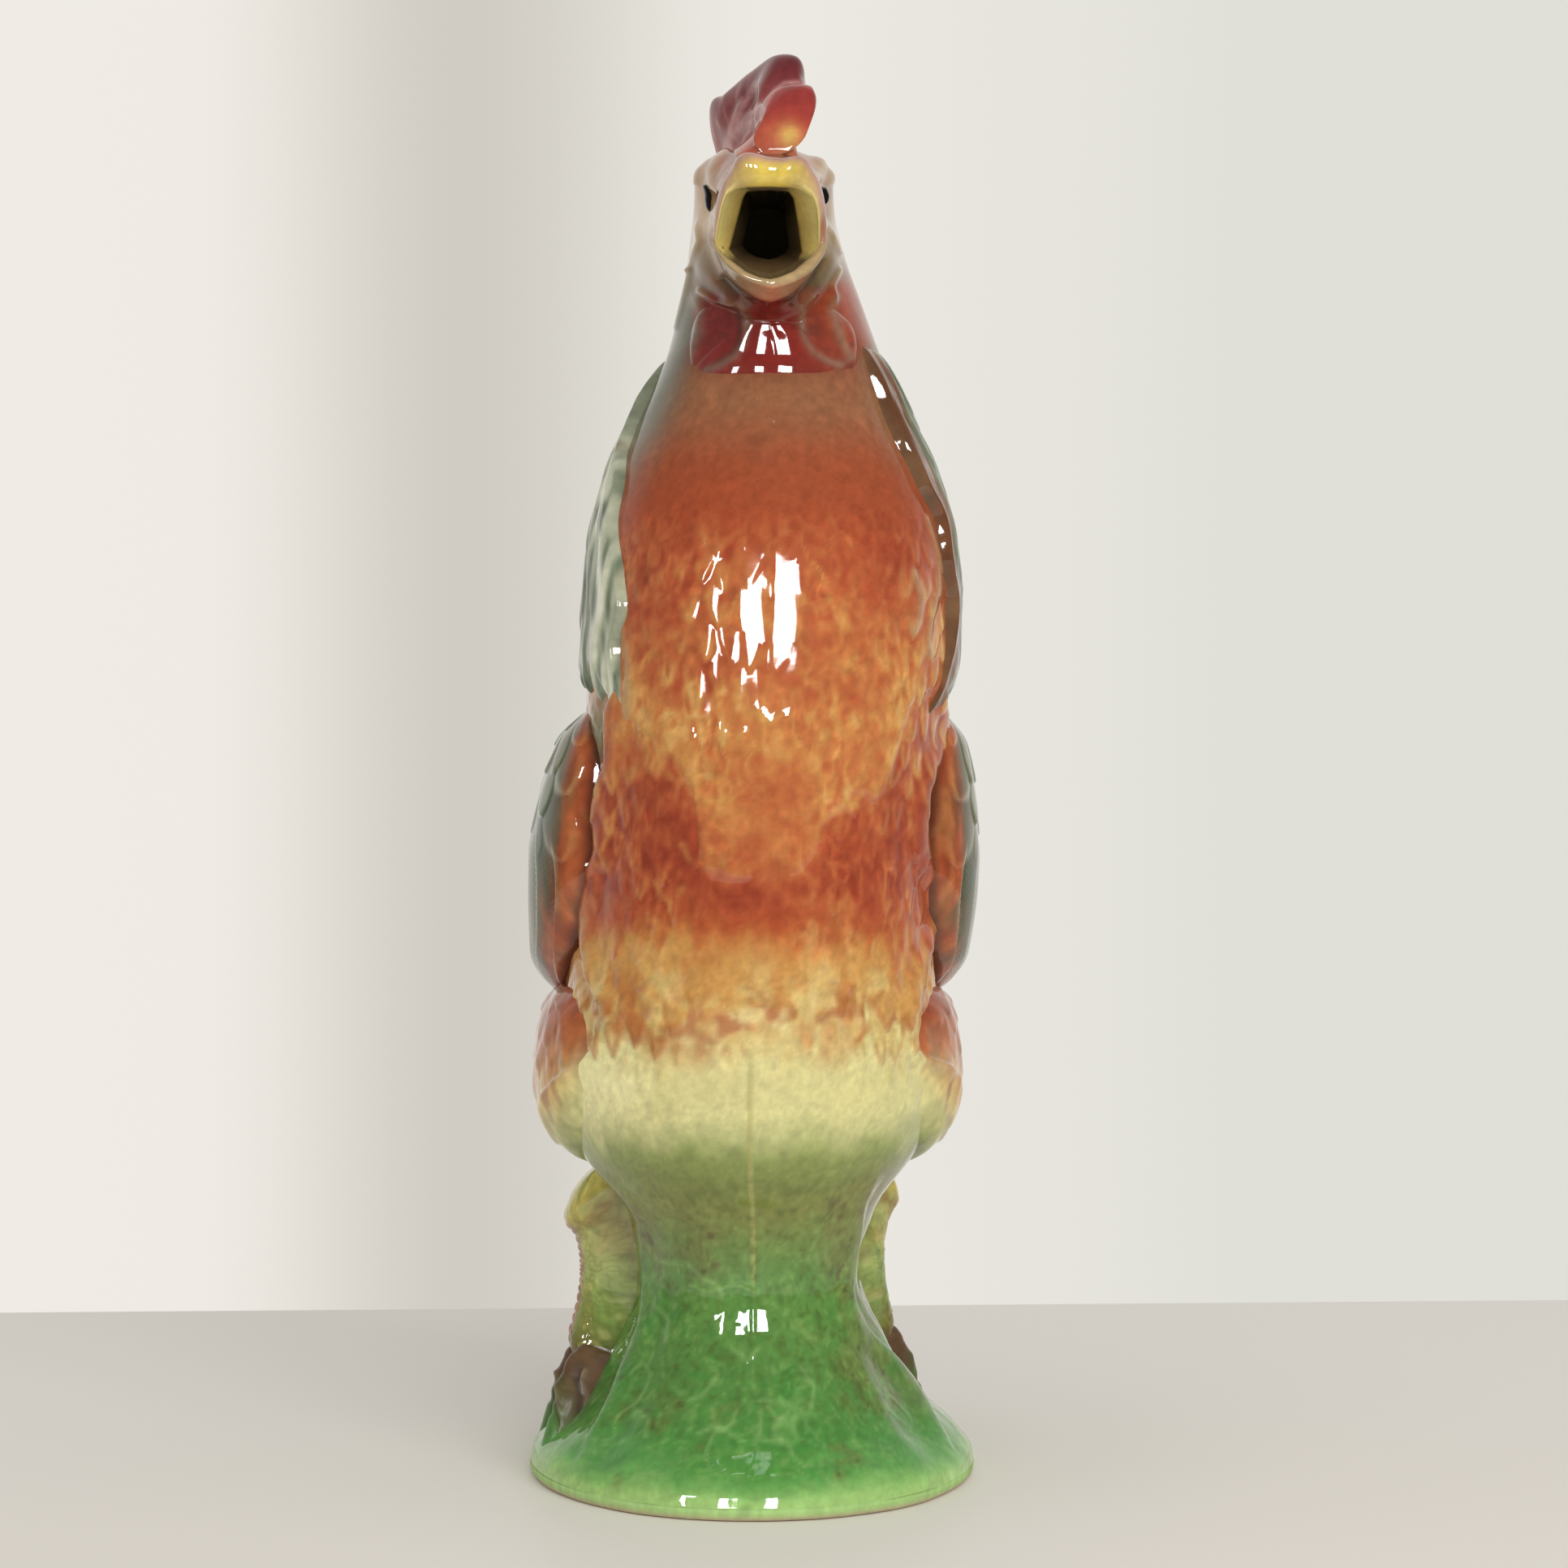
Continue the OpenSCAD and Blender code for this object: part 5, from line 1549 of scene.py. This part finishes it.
def hackle():
    """The cape of long pointed feathers round the back and sides of the neck."""
    along = np.linspace(0, 1, int((hackle_top_z - hackle_low_z + 2 * hackle_past) / hackle_spacing))[:, None]
    across = np.linspace(0, 1, hackle_columns)[None, :]
    # Columns lie closer together towards the cape's edges
    across = mix(across, 0.5 - 0.5 * np.cos(np.pi * across), 0.5)
    off_middle = np.abs(across * 2 - 1)
    between = np.abs(((across * hackle_count + 0.5) % 1) * 2 - 1)
    tip_wave = hackle_scallop * between * (1 - step(off_middle, 0.86, 1))
    tips_s = hackle_low_z + 1 - hackle_droop * step(off_middle, 0.7, 1) + tip_wave
    s = mix(tips_s, hackle_top_z + hackle_past, along)
    right, left = contour(HACKLE_RIGHT, s), contour(HACKLE_LEFT, s) - 360
    turn = mix(right, left, across)
    spots = Spots(s, turn)
    edge_mm = np.minimum(np.abs(right - turn), np.abs(turn - left)) * spots.per_degree
    warp = noise(spots.point, 20, 152)
    column, row = across * hackle_count + 0.2 * warp, (hackle_top_z - s) / hackle_row + 0.35 * warp
    plume = feathers(column, row, 1.8, 153, soft=0.24, pointed=1.5)
    folds = np.cos(2 * np.pi * (across * hackle_count * 0.7 + 0.5 * warp + along * 0.6))
    streak = brushed(spots.point, 2, 156, 5)
    back = 1 - step(off_middle, 0.62, 0.84)
    cap = step(edge_mm + noise(spots.point, 8, 151), 0.1, 2.6)
    cap = cap * round_end(along, mix(0.05, 0.22, step(off_middle, 0.75, 1))) * round_end(1 - along, 0.2)
    rise = hackle_t * mix(0.7, 1, step(off_middle, 0.6, 1)) + mix(0.3, 1, back) * plume.height
    rise = rise + 0.35 * (1 - back) * folds + 0.1 * streak
    height = vessel_relief(spots) * (1 - cap) - sink + (sink + rise) * cap
    top = spots.point + spots.out * height[..., None]
    bottom = spots.point - spots.out * (sink + hackle_deep)
    colour = hackle_paint(spots, plume, streak, edge_mm)
    closed_shell("hackle_feathers", "hackle_glaze", "hackle_cape", top[::-1], bottom[::-1], colour[::-1],
                 glaze("hackle_glaze"))


# Wattles, the red fold between them, and the eyes

def wattle_detail(side):
    """A cupped fold between pale rims, red inside."""
    around = (96, 92, 76) if side == "right" else (140, 70, 50)

    def detail(spots, along, across):
        view = seen(spots.point)
        height = 0.7 * wattle_rims(view) - 0.7 * wattle_hollows(view)
        colour = wattle_colours(np.zeros(along.shape + (3,)) + around, view, 1 + 0 * along)
        colour = over(colour, (84, 48, 50), 0.3 * step(brushed(spots.point, 3, 161, 0.6), 0.1, 0.8))
        return height, grained(colour, spots.point, 0.08, 1.6, 162)
    return detail


def lappet_detail(spots, along, across):
    """The dark red throat, with the mould's seam down it."""
    reds = [(0, (128, 54, 42)), (0.2, (136, 40, 34)), (0.6, (130, 34, 30)), (1, (122, 44, 36))]
    colour = from_stops(reds, along)
    seam = hill(np.abs(across * 40 - 6), 0, 2)
    colour = over(colour, (150, 76, 60), 0.4 * seam)
    colour = wattle_colours(colour, seen(spots.point), 0.9 + 0 * along)
    return 0.1 * noise(spots.point, 6, 171) + 0.1 * seam, grained(colour, spots.point, 0.07, 1.6, 172)


def eye_detail(spots, along, across):
    """Smooth and black."""
    return 0 * along, np.zeros(along.shape + (3,)) + (10, 9, 8)


def wattles():
    """Both wattles and the throat's fold between them."""
    material = glaze("wattle_glaze")
    for side, (middle, arc) in wattle_places.items():
        node = side + "_wattle"
        applied(
            node + "_fold", "wattle_glaze", node, material, wattle_detail(side), WATTLE_shares,
            start=wattle_low_z, end=at_tilt(wattle_high_tilt), middle=middle, arc=arc,
            rise=wattle_rise, spacing=0.3, ends=(0.2, 0.6), thick=1, edge=0.5, blunt=6,
        )
    applied(
        "throat_skin", "wattle_glaze", "throat_lappet", material, lappet_detail, LAPPET_shares,
        start=lappet_low_z, end=at_tilt(lappet_high_tilt), middle=lappet_angle, arc=lappet_arc,
        rise=wattle_rise, spacing=0.4, ends=(0.2, 0.8), thick=1, edge=0.7, blunt=6,
    )


def eyes():
    """Small beads, which follow the head's relief."""
    material = glaze("eye_glaze", roughness=0.03, speckle=0.02)
    for side, middle in eye_places.items():
        node = side + "_eye"
        start, end = [at_tilt(tilt) for tilt in eye_tilts[side]]
        applied(
            node + "_bead", "eye_glaze", node, material, eye_detail, EYE_shares,
            start=start, end=end, middle=middle, arc=eye_arcs[side],
            rise=eye_ts[side], spacing=0.25, ends=(0.4, 0.4), thick=0.5, edge=0.3, follow=1,
        )


# The beak: a hood above and a lip below, parted at the gape, gilded inside

gape_share, gape_power = 0.3, 0.7
beak_columns, rim_turns, outer_rows, band_rows, throat_rows = 170, 9, 40, 10, 8

# Inner edge of the open beak and the edge where the gilded band ends, each as they show from the front, with
# the angles round the mouth at which they are taken
opening_angles = [0, 18, 34, 46, 58, 90, 120, 134, 146, 162, 180, 198, 222, 250, 270, 290, 315, 342, 360]
OPENING = [(16.6, 302.7), (16.6, 307.2), (16.3, 311.6), (15.2, 314.8), (12.2, 316.8), (4.2, 317.2),
           (-3.6, 316.9), (-6.1, 315.3), (-7.2, 312.2), (-8.0, 308.1), (-9.0, 302.9), (-5.8, 299.6),
           (-1.1, 296.1), (2.1, 294.7), (4.8, 294.3), (7.3, 294.9), (10.5, 296.3), (14.2, 299.5),
           (16.6, 302.7)]
throat_angles = [0, 30, 50, 62, 90, 118, 130, 150, 180, 210, 240, 270, 300, 330, 360]
THROAT = [(12.9, 301.0), (11.9, 308.4), (10.8, 314.8), (9.6, 316.5), (4.2, 316.9), (-1.3, 316.5),
          (-2.2, 314.8), (-3.8, 308.7), (-5.7, 301.6), (-3.5, 298.9), (0.0, 296.3), (4.8, 295.2),
          (8.7, 296.4), (11.6, 298.6), (12.9, 301.0)]
band_depth, throat_depth, band_front = 9, 17, -43
rim_bulge = 0.42
# Where the throat narrows to, and how far it goes there sideways, back and up
throat_middle, throat_narrowing = [3.6, 0, 304], [0.4, 0, 0.42]
# Painted shade and light inside the mouth: the throat is lighter low down by the opening and darkest, nearly
# black, up under the hood
THROAT_SHADE_COLOURS = [(286, (124, 98, 66)), (293, (112, 92, 64)), (300, (110, 96, 68)), (308, (30, 26, 18))]


def rim_place(angle):
    """The place along the skin at which the rim lies: furthest back at the gape."""
    forward = mix(gape_share, 1, np.abs(np.sin(np.radians(angle))) ** gape_power)
    return mix(at_tilt(beak_tilt), at_tilt(mouth_tilt), forward)


def beak_relief(spots):
    """The head's relief dies out over the beak, which has two low bumps on top."""
    share = step(spots.s, at_tilt(beak_tilt), at_tilt(mouth_tilt - 3))
    bumps = 1.9 * hill(spots.angle, 108, 24) + 1.3 * hill(spots.angle, 70, 20)
    return mix(vessel_relief(spots), bumps, share)


def mouth_edge(marks, path, angles, y):
    """Points at the depths given of an edge of the mouth, at the angles given."""
    path = np.array(path, float)
    view = np.stack([np.interp(angles, marks, path[:, k]) for k in range(2)], -1)
    return placed(view, y)


def eased(values, count):
    """Softens the corners of a run of points."""
    for _ in range(count):
        values[1:-1] = (values[:-2] + 2 * values[1:-1] + values[2:]) / 4
    return values


def beak_shape(outer, angles):
    """Rows of points from the skin over the rounded rim, along the gilded band and into the throat."""
    edge = outer[-1]
    inner = eased(mouth_edge(opening_angles, OPENING, angles, edge[:, 1]), 6)
    gap = np.linalg.norm(edge - inner, axis=-1)[:, None]
    rim = []
    for k in range(1, rim_turns):
        t = math.pi * k / rim_turns
        bulge = [0, -rim_bulge, 0] * gap * math.sin(t)
        rim.append((edge + inner) / 2 + (edge - inner) / 2 * math.cos(t) + bulge)
    band_y = np.minimum(edge[:, 1] + band_depth, band_front)
    band_end = eased(mouth_edge(throat_angles, THROAT, angles, band_y), 6)
    throat_end = band_end + [0, throat_depth, 0]
    throat_end = mix(throat_end, throat_middle + throat_end * [0, 1, 0], throat_narrowing)
    band = [mix(inner, band_end, q) for q in np.linspace(0, 1, band_rows)]
    throat = [mix(band_end, throat_end, q) for q in np.linspace(0, 1, throat_rows + 1)[1:]]
    return np.concatenate([outer, np.array(rim), np.array(band), np.array(throat)])


def beak_colours(skin_colour, angles, throat_heights, paint):
    """Colours of the same rows, and how gilded they are: most in the corners of the band. The gold pales
    towards the rim as a painted highlight, and the throat is painted dark as shade.
    """
    turn = np.radians(angles)
    side = step(np.abs(np.cos(turn)), 0.3, 0.62) * step(np.sin(turn), -0.45, -0.1)
    rim_spots = Spots(rim_place(angles), angles)
    rim = [paint(rim_spots, 1 + k / rim_turns + 0 * angles) for k in range(1, rim_turns)]
    plain = over(np.zeros((len(angles), 3)) + (150, 130, 92), (255, 234, 150), side)
    # The gilt, painted paler towards the rim as a highlight along its edge
    gilt_and_highlight = mix(np.array((255, 242, 160)), (236, 204, 116), np.linspace(0, 1, band_rows)[:, None])
    band = [over(plain, paint_in, 0.85 * side) for paint_in in gilt_and_highlight]
    throat = [from_stops(THROAT_SHADE_COLOURS, throat_heights)] * throat_rows
    colours = np.concatenate([skin_colour, np.array(rim), np.array(band), np.array(throat)])
    start = outer_rows + rim_turns - 1
    # The rim's last two rows take the band's pale gold on the sides: a painted highlight along the rim's edge
    colours[start - 2:start] = mix(colours[start - 2:start], plain, side[:, None])
    gold = np.zeros(colours.shape[:2])
    gold[start - 2:start + band_rows] = 0.16 * side
    return colours, gold


def beak_half(name, node, first, last, paint, material):
    """Half of the spout: its skin, rounded rim, gilded band and the start of the throat."""
    angles = np.linspace(first, last, beak_columns)
    share = np.linspace(0, 1, outer_rows)[:, None]
    spots = Spots(mix(at_tilt(beak_tilt), rim_place(angles), share), angles + 0 * share)
    loop = beak_shape(spots.point + spots.out * beak_relief(spots)[..., None], angles)
    band_end = loop[outer_rows + rim_turns - 1 + band_rows - 1]
    colours, gold = beak_colours(paint(spots, share + 0 * angles), angles, band_end[:, 2], paint)
    rows, columns = loop.shape[:2]
    quads, places = grid_quads(rows, columns, True, False)
    uv = np.stack([places[..., 1] / columns, places[..., 0] / (rows + 1) * 0.98], -1)
    # Flat ends close the wall at the gape
    j = np.arange(rows // 2)
    for column, flip in ((0, True), (columns - 1, False)):
        near, far = j * columns + column, (rows - 1 - j) * columns + column
        faces = np.stack([near[:-1], near[1:], far[1:], far[:-1]], -1)
        quads = np.concatenate([quads, faces[:, ::-1] if flip else faces])
        uv = np.concatenate([uv, np.zeros((len(faces), 4, 2)) + 0.995])
    belongs(new_mesh(name, loop, quads, uv, colours, material, gilt=gold), "beak_glaze", node)


def hood_paint(spots, share):
    """The upper beak. The share goes from 0 at the head to 1 at the rim, and on to 2 over it."""
    colour = mix(head_paint(spots), np.array((189, 147, 134), float), step(share, 0, 0.4)[..., None])
    colour = layers(
        colour,
        ((214, 188, 134), 0.7 * step(share, 1.3, 1.7)),
        ((228, 200, 88), 0.95 * hill(spots.angle, 87, 60) * step(share, 1.2, 1.45)),
        ((150, 84, 50), 0.6 * hill(spots.angle, 8, 14) * step(share, 0.6, 1)),
    )
    return grained(colour, spots.point, 0.06, 1.6, 181)


def chin_paint(spots, share):
    """The lower beak, with the same share."""
    middle = hill(spots.round(), 270, 46)
    colour = over(np.zeros(np.shape(share) + (3,)) + (158, 136, 102), (208, 142, 108), middle)
    colour = mix(head_paint(spots), colour, step(share, 0.1, 0.6)[..., None])
    colour = over(colour, (184, 156, 112), step(share, 1.2, 1.5) + 0.5 * (1 - middle) * step(share, 0.8, 1))
    return grained(colour, spots.point, 0.06, 1.6, 182)


def beak():
    """Both halves of the spout."""
    material = glaze("beak_glaze")
    beak_half("hood", "upper_beak", 0, 180, hood_paint, material)
    beak_half("lip", "lower_beak", 180, 360, chin_paint, material)


# The comb: a thick wavy sheet whose lobes lean to either side in turn

comb_h, comb_w, comb_t, comb_slope_share = 27, 27, 15, 0.4
comb_back_tilt, comb_front_tilt = 27, 81
# Share of the length from back to front, then shares of the height, of the width for the lean, and of the
# width for the half spread
COMB_shares = [
    [0, 0.3, -0.1, 0.14], [0.1, 0.85, -0.28, 0.16], [0.2, 1.07, -0.38, 0.17], [0.3, 0.94, -0.26, 0.18],
    [0.42, 0.97, -0.02, 0.2], [0.54, 1, 0.2, 0.21], [0.64, 0.78, 0.2, 0.2], [0.72, 0.5, 0.16, 0.2],
    [0.82, 0.6, 0.28, 0.22], [0.9, 0.5, 0.28, 0.22], [1, 0.12, 0.08, 0.24],
]
# Cross-section: sideways share, upward share
COMB_OUTLINE_shares = [
    [-1, 0], [-0.66, 0.3], [-0.72, 0.55], [-0.92, 0.8], [-0.5, 1], [0.5, 1], [0.92, 0.8], [0.72, 0.55],
    [0.66, 0.3], [1, 0], [0.5, -0.08], [-0.5, -0.08],
]
COMB_LINES = [
    [(-3.2, 329.7), (-0.8, 332.9), (2.4, 335.6), (4.2, 338.6), (5.7, 341.2), (8.3, 343.0),
     (11.9, 343.3), (15.0, 342.2)],
    [(-5.0, 327.9), (-4.0, 332.0), (-2.3, 336.5), (-0.3, 339.7), (1.3, 342.6)],
    [(-6.5, 327.3), (-4.4, 333.2), (-3.2, 336.2), (-1.7, 338.6)],
    [(-3.6, 330.3), (-1.1, 334.4), (1.8, 337.4)],
]


def smooth_loop(points, count):
    """A smooth closed curve through given points."""
    p = np.array(points, float)
    n = len(p)
    t = np.linspace(0, n, count, endpoint=False)
    i = t.astype(int)
    u = (t - i)[:, None]
    a, b, c, d = p[(i - 1) % n], p[i % n], p[(i + 1) % n], p[(i + 2) % n]
    square, cube = 2 * a - 5 * b + 4 * c - d, 3 * b - a - 3 * c + d
    return 0.5 * (2 * b + (c - a) * u + square * u ** 2 + cube * u ** 3)


# Up the comb behind, and up its front lobe
COMB_BACK_COLOURS = [
    (318, (150, 88, 66)), (325, (160, 94, 86)), (334, (134, 66, 66)), (344, (104, 40, 44)),
    (352, (88, 32, 38)),
]
COMB_FRONT_COLOURS = [
    (318, (168, 98, 74)), (321, (166, 80, 62)), (326, (158, 62, 52)), (330, (152, 58, 52)),
    (336, (140, 52, 50)), (341, (112, 38, 44)),
]
comb_rows, comb_columns, comb_end_share, comb_slim = 170, 96, 0.04, 0.96


def comb_colour(points):
    """Maroon, pink along its folds, and in front red running to a yellow foot."""
    view, y, z = seen(points), points[:, 1], points[:, 2]
    pink = step(brushed(points, 2.6, 192, 3), 0.1, 0.7) * (1 - step(view[:, 0], -2, 8))
    back = over(from_stops(COMB_BACK_COLOURS, z + 2 * noise(points, 8, 191)), (190, 146, 138), 0.6 * pink)
    lobe = layers(
        from_stops(COMB_FRONT_COLOURS, z + 1.4 * noise(points, 5, 193)),
        ((186, 96, 66), 0.5 * dab(view, 4.8, 330.9, 5, 3.6)),
        ((216, 188, 98), 0.85 * dab(view, 9.5, 330.1, 3, 3.2)),
    )
    colour = mix(back, lobe, step(-y, 19, 25)[:, None])
    lines = np.clip(strokes(view, COMB_LINES, 0.9), 0, 1)
    colour = over(colour, (186, 142, 138), 0.75 * lines * step(-y, -16, 0))
    return colour * (1.08 + 0.07 * noise(points, 1.8, 194))[:, None]


def comb_section(u, loop):
    """The comb's cross-section at a share of its length, which closes softly at both ends."""
    _, tall, lean, spread = blend(COMB_shares, u)
    s = mix(at_tilt(comb_back_tilt), at_tilt(comb_front_tilt), u)
    normal = outward(s, 90)
    root = skin(s, 90) - normal * sink
    up = unit(np.array([0, normal[1] * comb_slope_share, normal[2]]))
    near_end = min(u, 1 - u, comb_end_share) / comb_end_share
    end = min(1, math.sqrt(max(0, 1 - (1 - near_end) ** 2)) + 0.02)
    half = mix(comb_t / 2, comb_w * spread, np.clip(loop[:, 1], 0, 1)) * loop[:, 0] * end
    section = root + up * (comb_h * comb_slim * tall * end) * loop[:, 1:]
    section[:, 0] += half + comb_w * lean * loop[:, 1]
    return section


def comb():
    """The comb, with soft ridges along its drawn lines."""
    loop = smooth_loop(COMB_OUTLINE_shares, comb_columns)
    points = np.array([comb_section(u, loop) for u in np.linspace(0, 1, comb_rows)])
    across = np.roll(points, -1, 1) - np.roll(points, 1, 1)
    out = unit(np.cross(np.gradient(points, axis=0), across))
    lines = strokes(seen(points), COMB_LINES, 1.1) * step(-points[..., 1], -16, 0)
    swell = 0.45 * lines + 0.2 * noise(points, 7, 195)
    sign = np.sign(((points - points.mean(1, keepdims=True)) * out).sum(-1).mean())
    points = points + sign * out * swell[..., None]
    quads, places = grid_quads(comb_rows, comb_columns, False, True)
    uv = np.stack([places[..., 1] / comb_columns, places[..., 0] / comb_rows], -1)
    faces, uv = shut_ends(quads, uv, comb_rows, comb_columns)
    if sign > 0:
        faces, uv = faces[:, ::-1], uv[:, ::-1]
    flat = points.reshape(-1, 3)
    piece = new_mesh("comb_lobes", flat, faces, uv, comb_colour(flat), glaze("comb_glaze"))
    belongs(piece, "comb_glaze", "comb")


# The handle and the foot

handle_low_z, handle_reach, handle_top_z, handle_bend_z = 177, 104, 303, 212
handle_w, handle_t, handle_tilt, pull_share = 15, 11, 7, 0.7


handle_rows, handle_columns, handle_root = 240, 96, 6


def handle():
    """A loop from the nape to the back, grooved along its length like a bundle of feathers."""
    top = skin(at_tilt(handle_tilt), 90)
    end = skin(handle_low_z, 90)
    pull_high = np.array([top[0], mix(top[1], handle_reach, pull_share), handle_top_z])
    pull_low = np.array([end[0], handle_reach, handle_bend_z])
    u = np.linspace(0, 1, handle_rows)[:, None]
    v = 1 - u
    centre = top * v ** 3 + pull_high * 3 * u * v ** 2 + pull_low * 3 * u * u * v + end * u ** 3
    # Both ends go into the wall
    centre = centre - np.array([0, handle_root, 0]) * (step(u, 0.9, 1) + 1 - step(u, 0, 0.1))
    along = unit(np.gradient(centre, axis=0))
    outer = np.stack([0 * along[:, 0], -along[:, 2], along[:, 1]], -1)
    swell = 1 + 0.55 * np.abs(2 * u - 1) ** 6
    turn = np.linspace(0, 2 * np.pi, handle_columns, endpoint=False)[None, :]
    ribs = np.cos(turn * 9 + 1.2 * np.sin(u * 7))
    groove = 1 + 0.045 * ribs * (np.sin(turn) > -0.3)
    side = handle_w / 2 * swell * np.cos(turn) * groove
    out = handle_t / 2 * swell * np.sin(turn) * groove
    points = centre[:, None, :] + side[..., None] * [1, 0, 0] + out[..., None] * outer[:, None, :]
    quads, places = grid_quads(handle_rows, handle_columns, False, True)
    uv = np.stack([places[..., 1] / handle_columns, places[..., 0] / handle_rows], -1)
    faces, uv = shut_ends(quads, uv, handle_rows, handle_columns)
    greens = [(0, (110, 100, 66)), (0.3, (96, 104, 66)), (0.7, (84, 96, 64)), (1, (80, 88, 60))]
    colour = from_stops(greens, u + 0.08 * noise(points, 12, 201))
    colour = grained(over(colour, (150, 146, 104), 0.5 * step(ribs, 0.5, 1)), points, 0.1, 2.2, 202)
    piece = new_mesh("handle_loop", points, faces[:, ::-1], uv[:, ::-1], colour, glaze("handle_glaze"))
    belongs(piece, "handle_glaze", "handle")


# From the recess under the foot out to its rim and up: millimetres in from the rim, height and share of glaze
FOOT_PROFILE = [
    (14, 1.1, 0), (12.5, 0.3, 0), (11.5, 0, 0), (2.2, 0, 0), (0.9, 0.25, 0), (0.25, 1, 0.5), (0, 2, 1),
    (0, foot_h, 1),
]
recess_z, hub_share = 1.2, 0.05


def foot():
    """The rim where the glaze runs out above bare clay, and the recessed clay face under it."""
    spots = Spots(foot_h, ANGLES[None, :])
    axis = np.array([0, 0, foot_h])
    rim = (spots.point + spots.out * vessel_relief(spots)[..., None])[0]
    inward = unit(axis - spots.point)[0]
    hub = (rim - axis) * hub_share
    rows = [hub * [1, 1, 0] + [0, 0, recess_z]]
    for deep, z, _ in FOOT_PROFILE:
        rows.append((rim + inward * deep) * [1, 1, 0] + [0, 0, z])
    points = np.array(rows + [hub + axis])
    glazed = np.array([0] + [share for _, _, share in FOOT_PROFILE] + [1])
    colour = mix(np.zeros(points.shape) + (196, 178, 150), outside_paint(spots), glazed[:, None, None])
    count, columns = points.shape[:2]
    quads, places = grid_quads(count, columns, False, True)
    uv = np.stack([places[..., 1] / columns, places[..., 0] / count], -1)
    quads, uv = shut_ends(quads, uv, count, columns)
    piece = new_mesh("foot_rim", points, quads, uv, colour, glaze("foot_clay", roughness=0.8))
    belongs(piece, "foot_clay", "foot")


camera()
world()
lights()
stage()
vessel()
foot()
beak()
comb()
wattles()
eyes()
hackle()
wings()
thighs()
legs()
feet()
tail()
handle()

bpy.context.scene.view_settings.view_transform = "Standard"
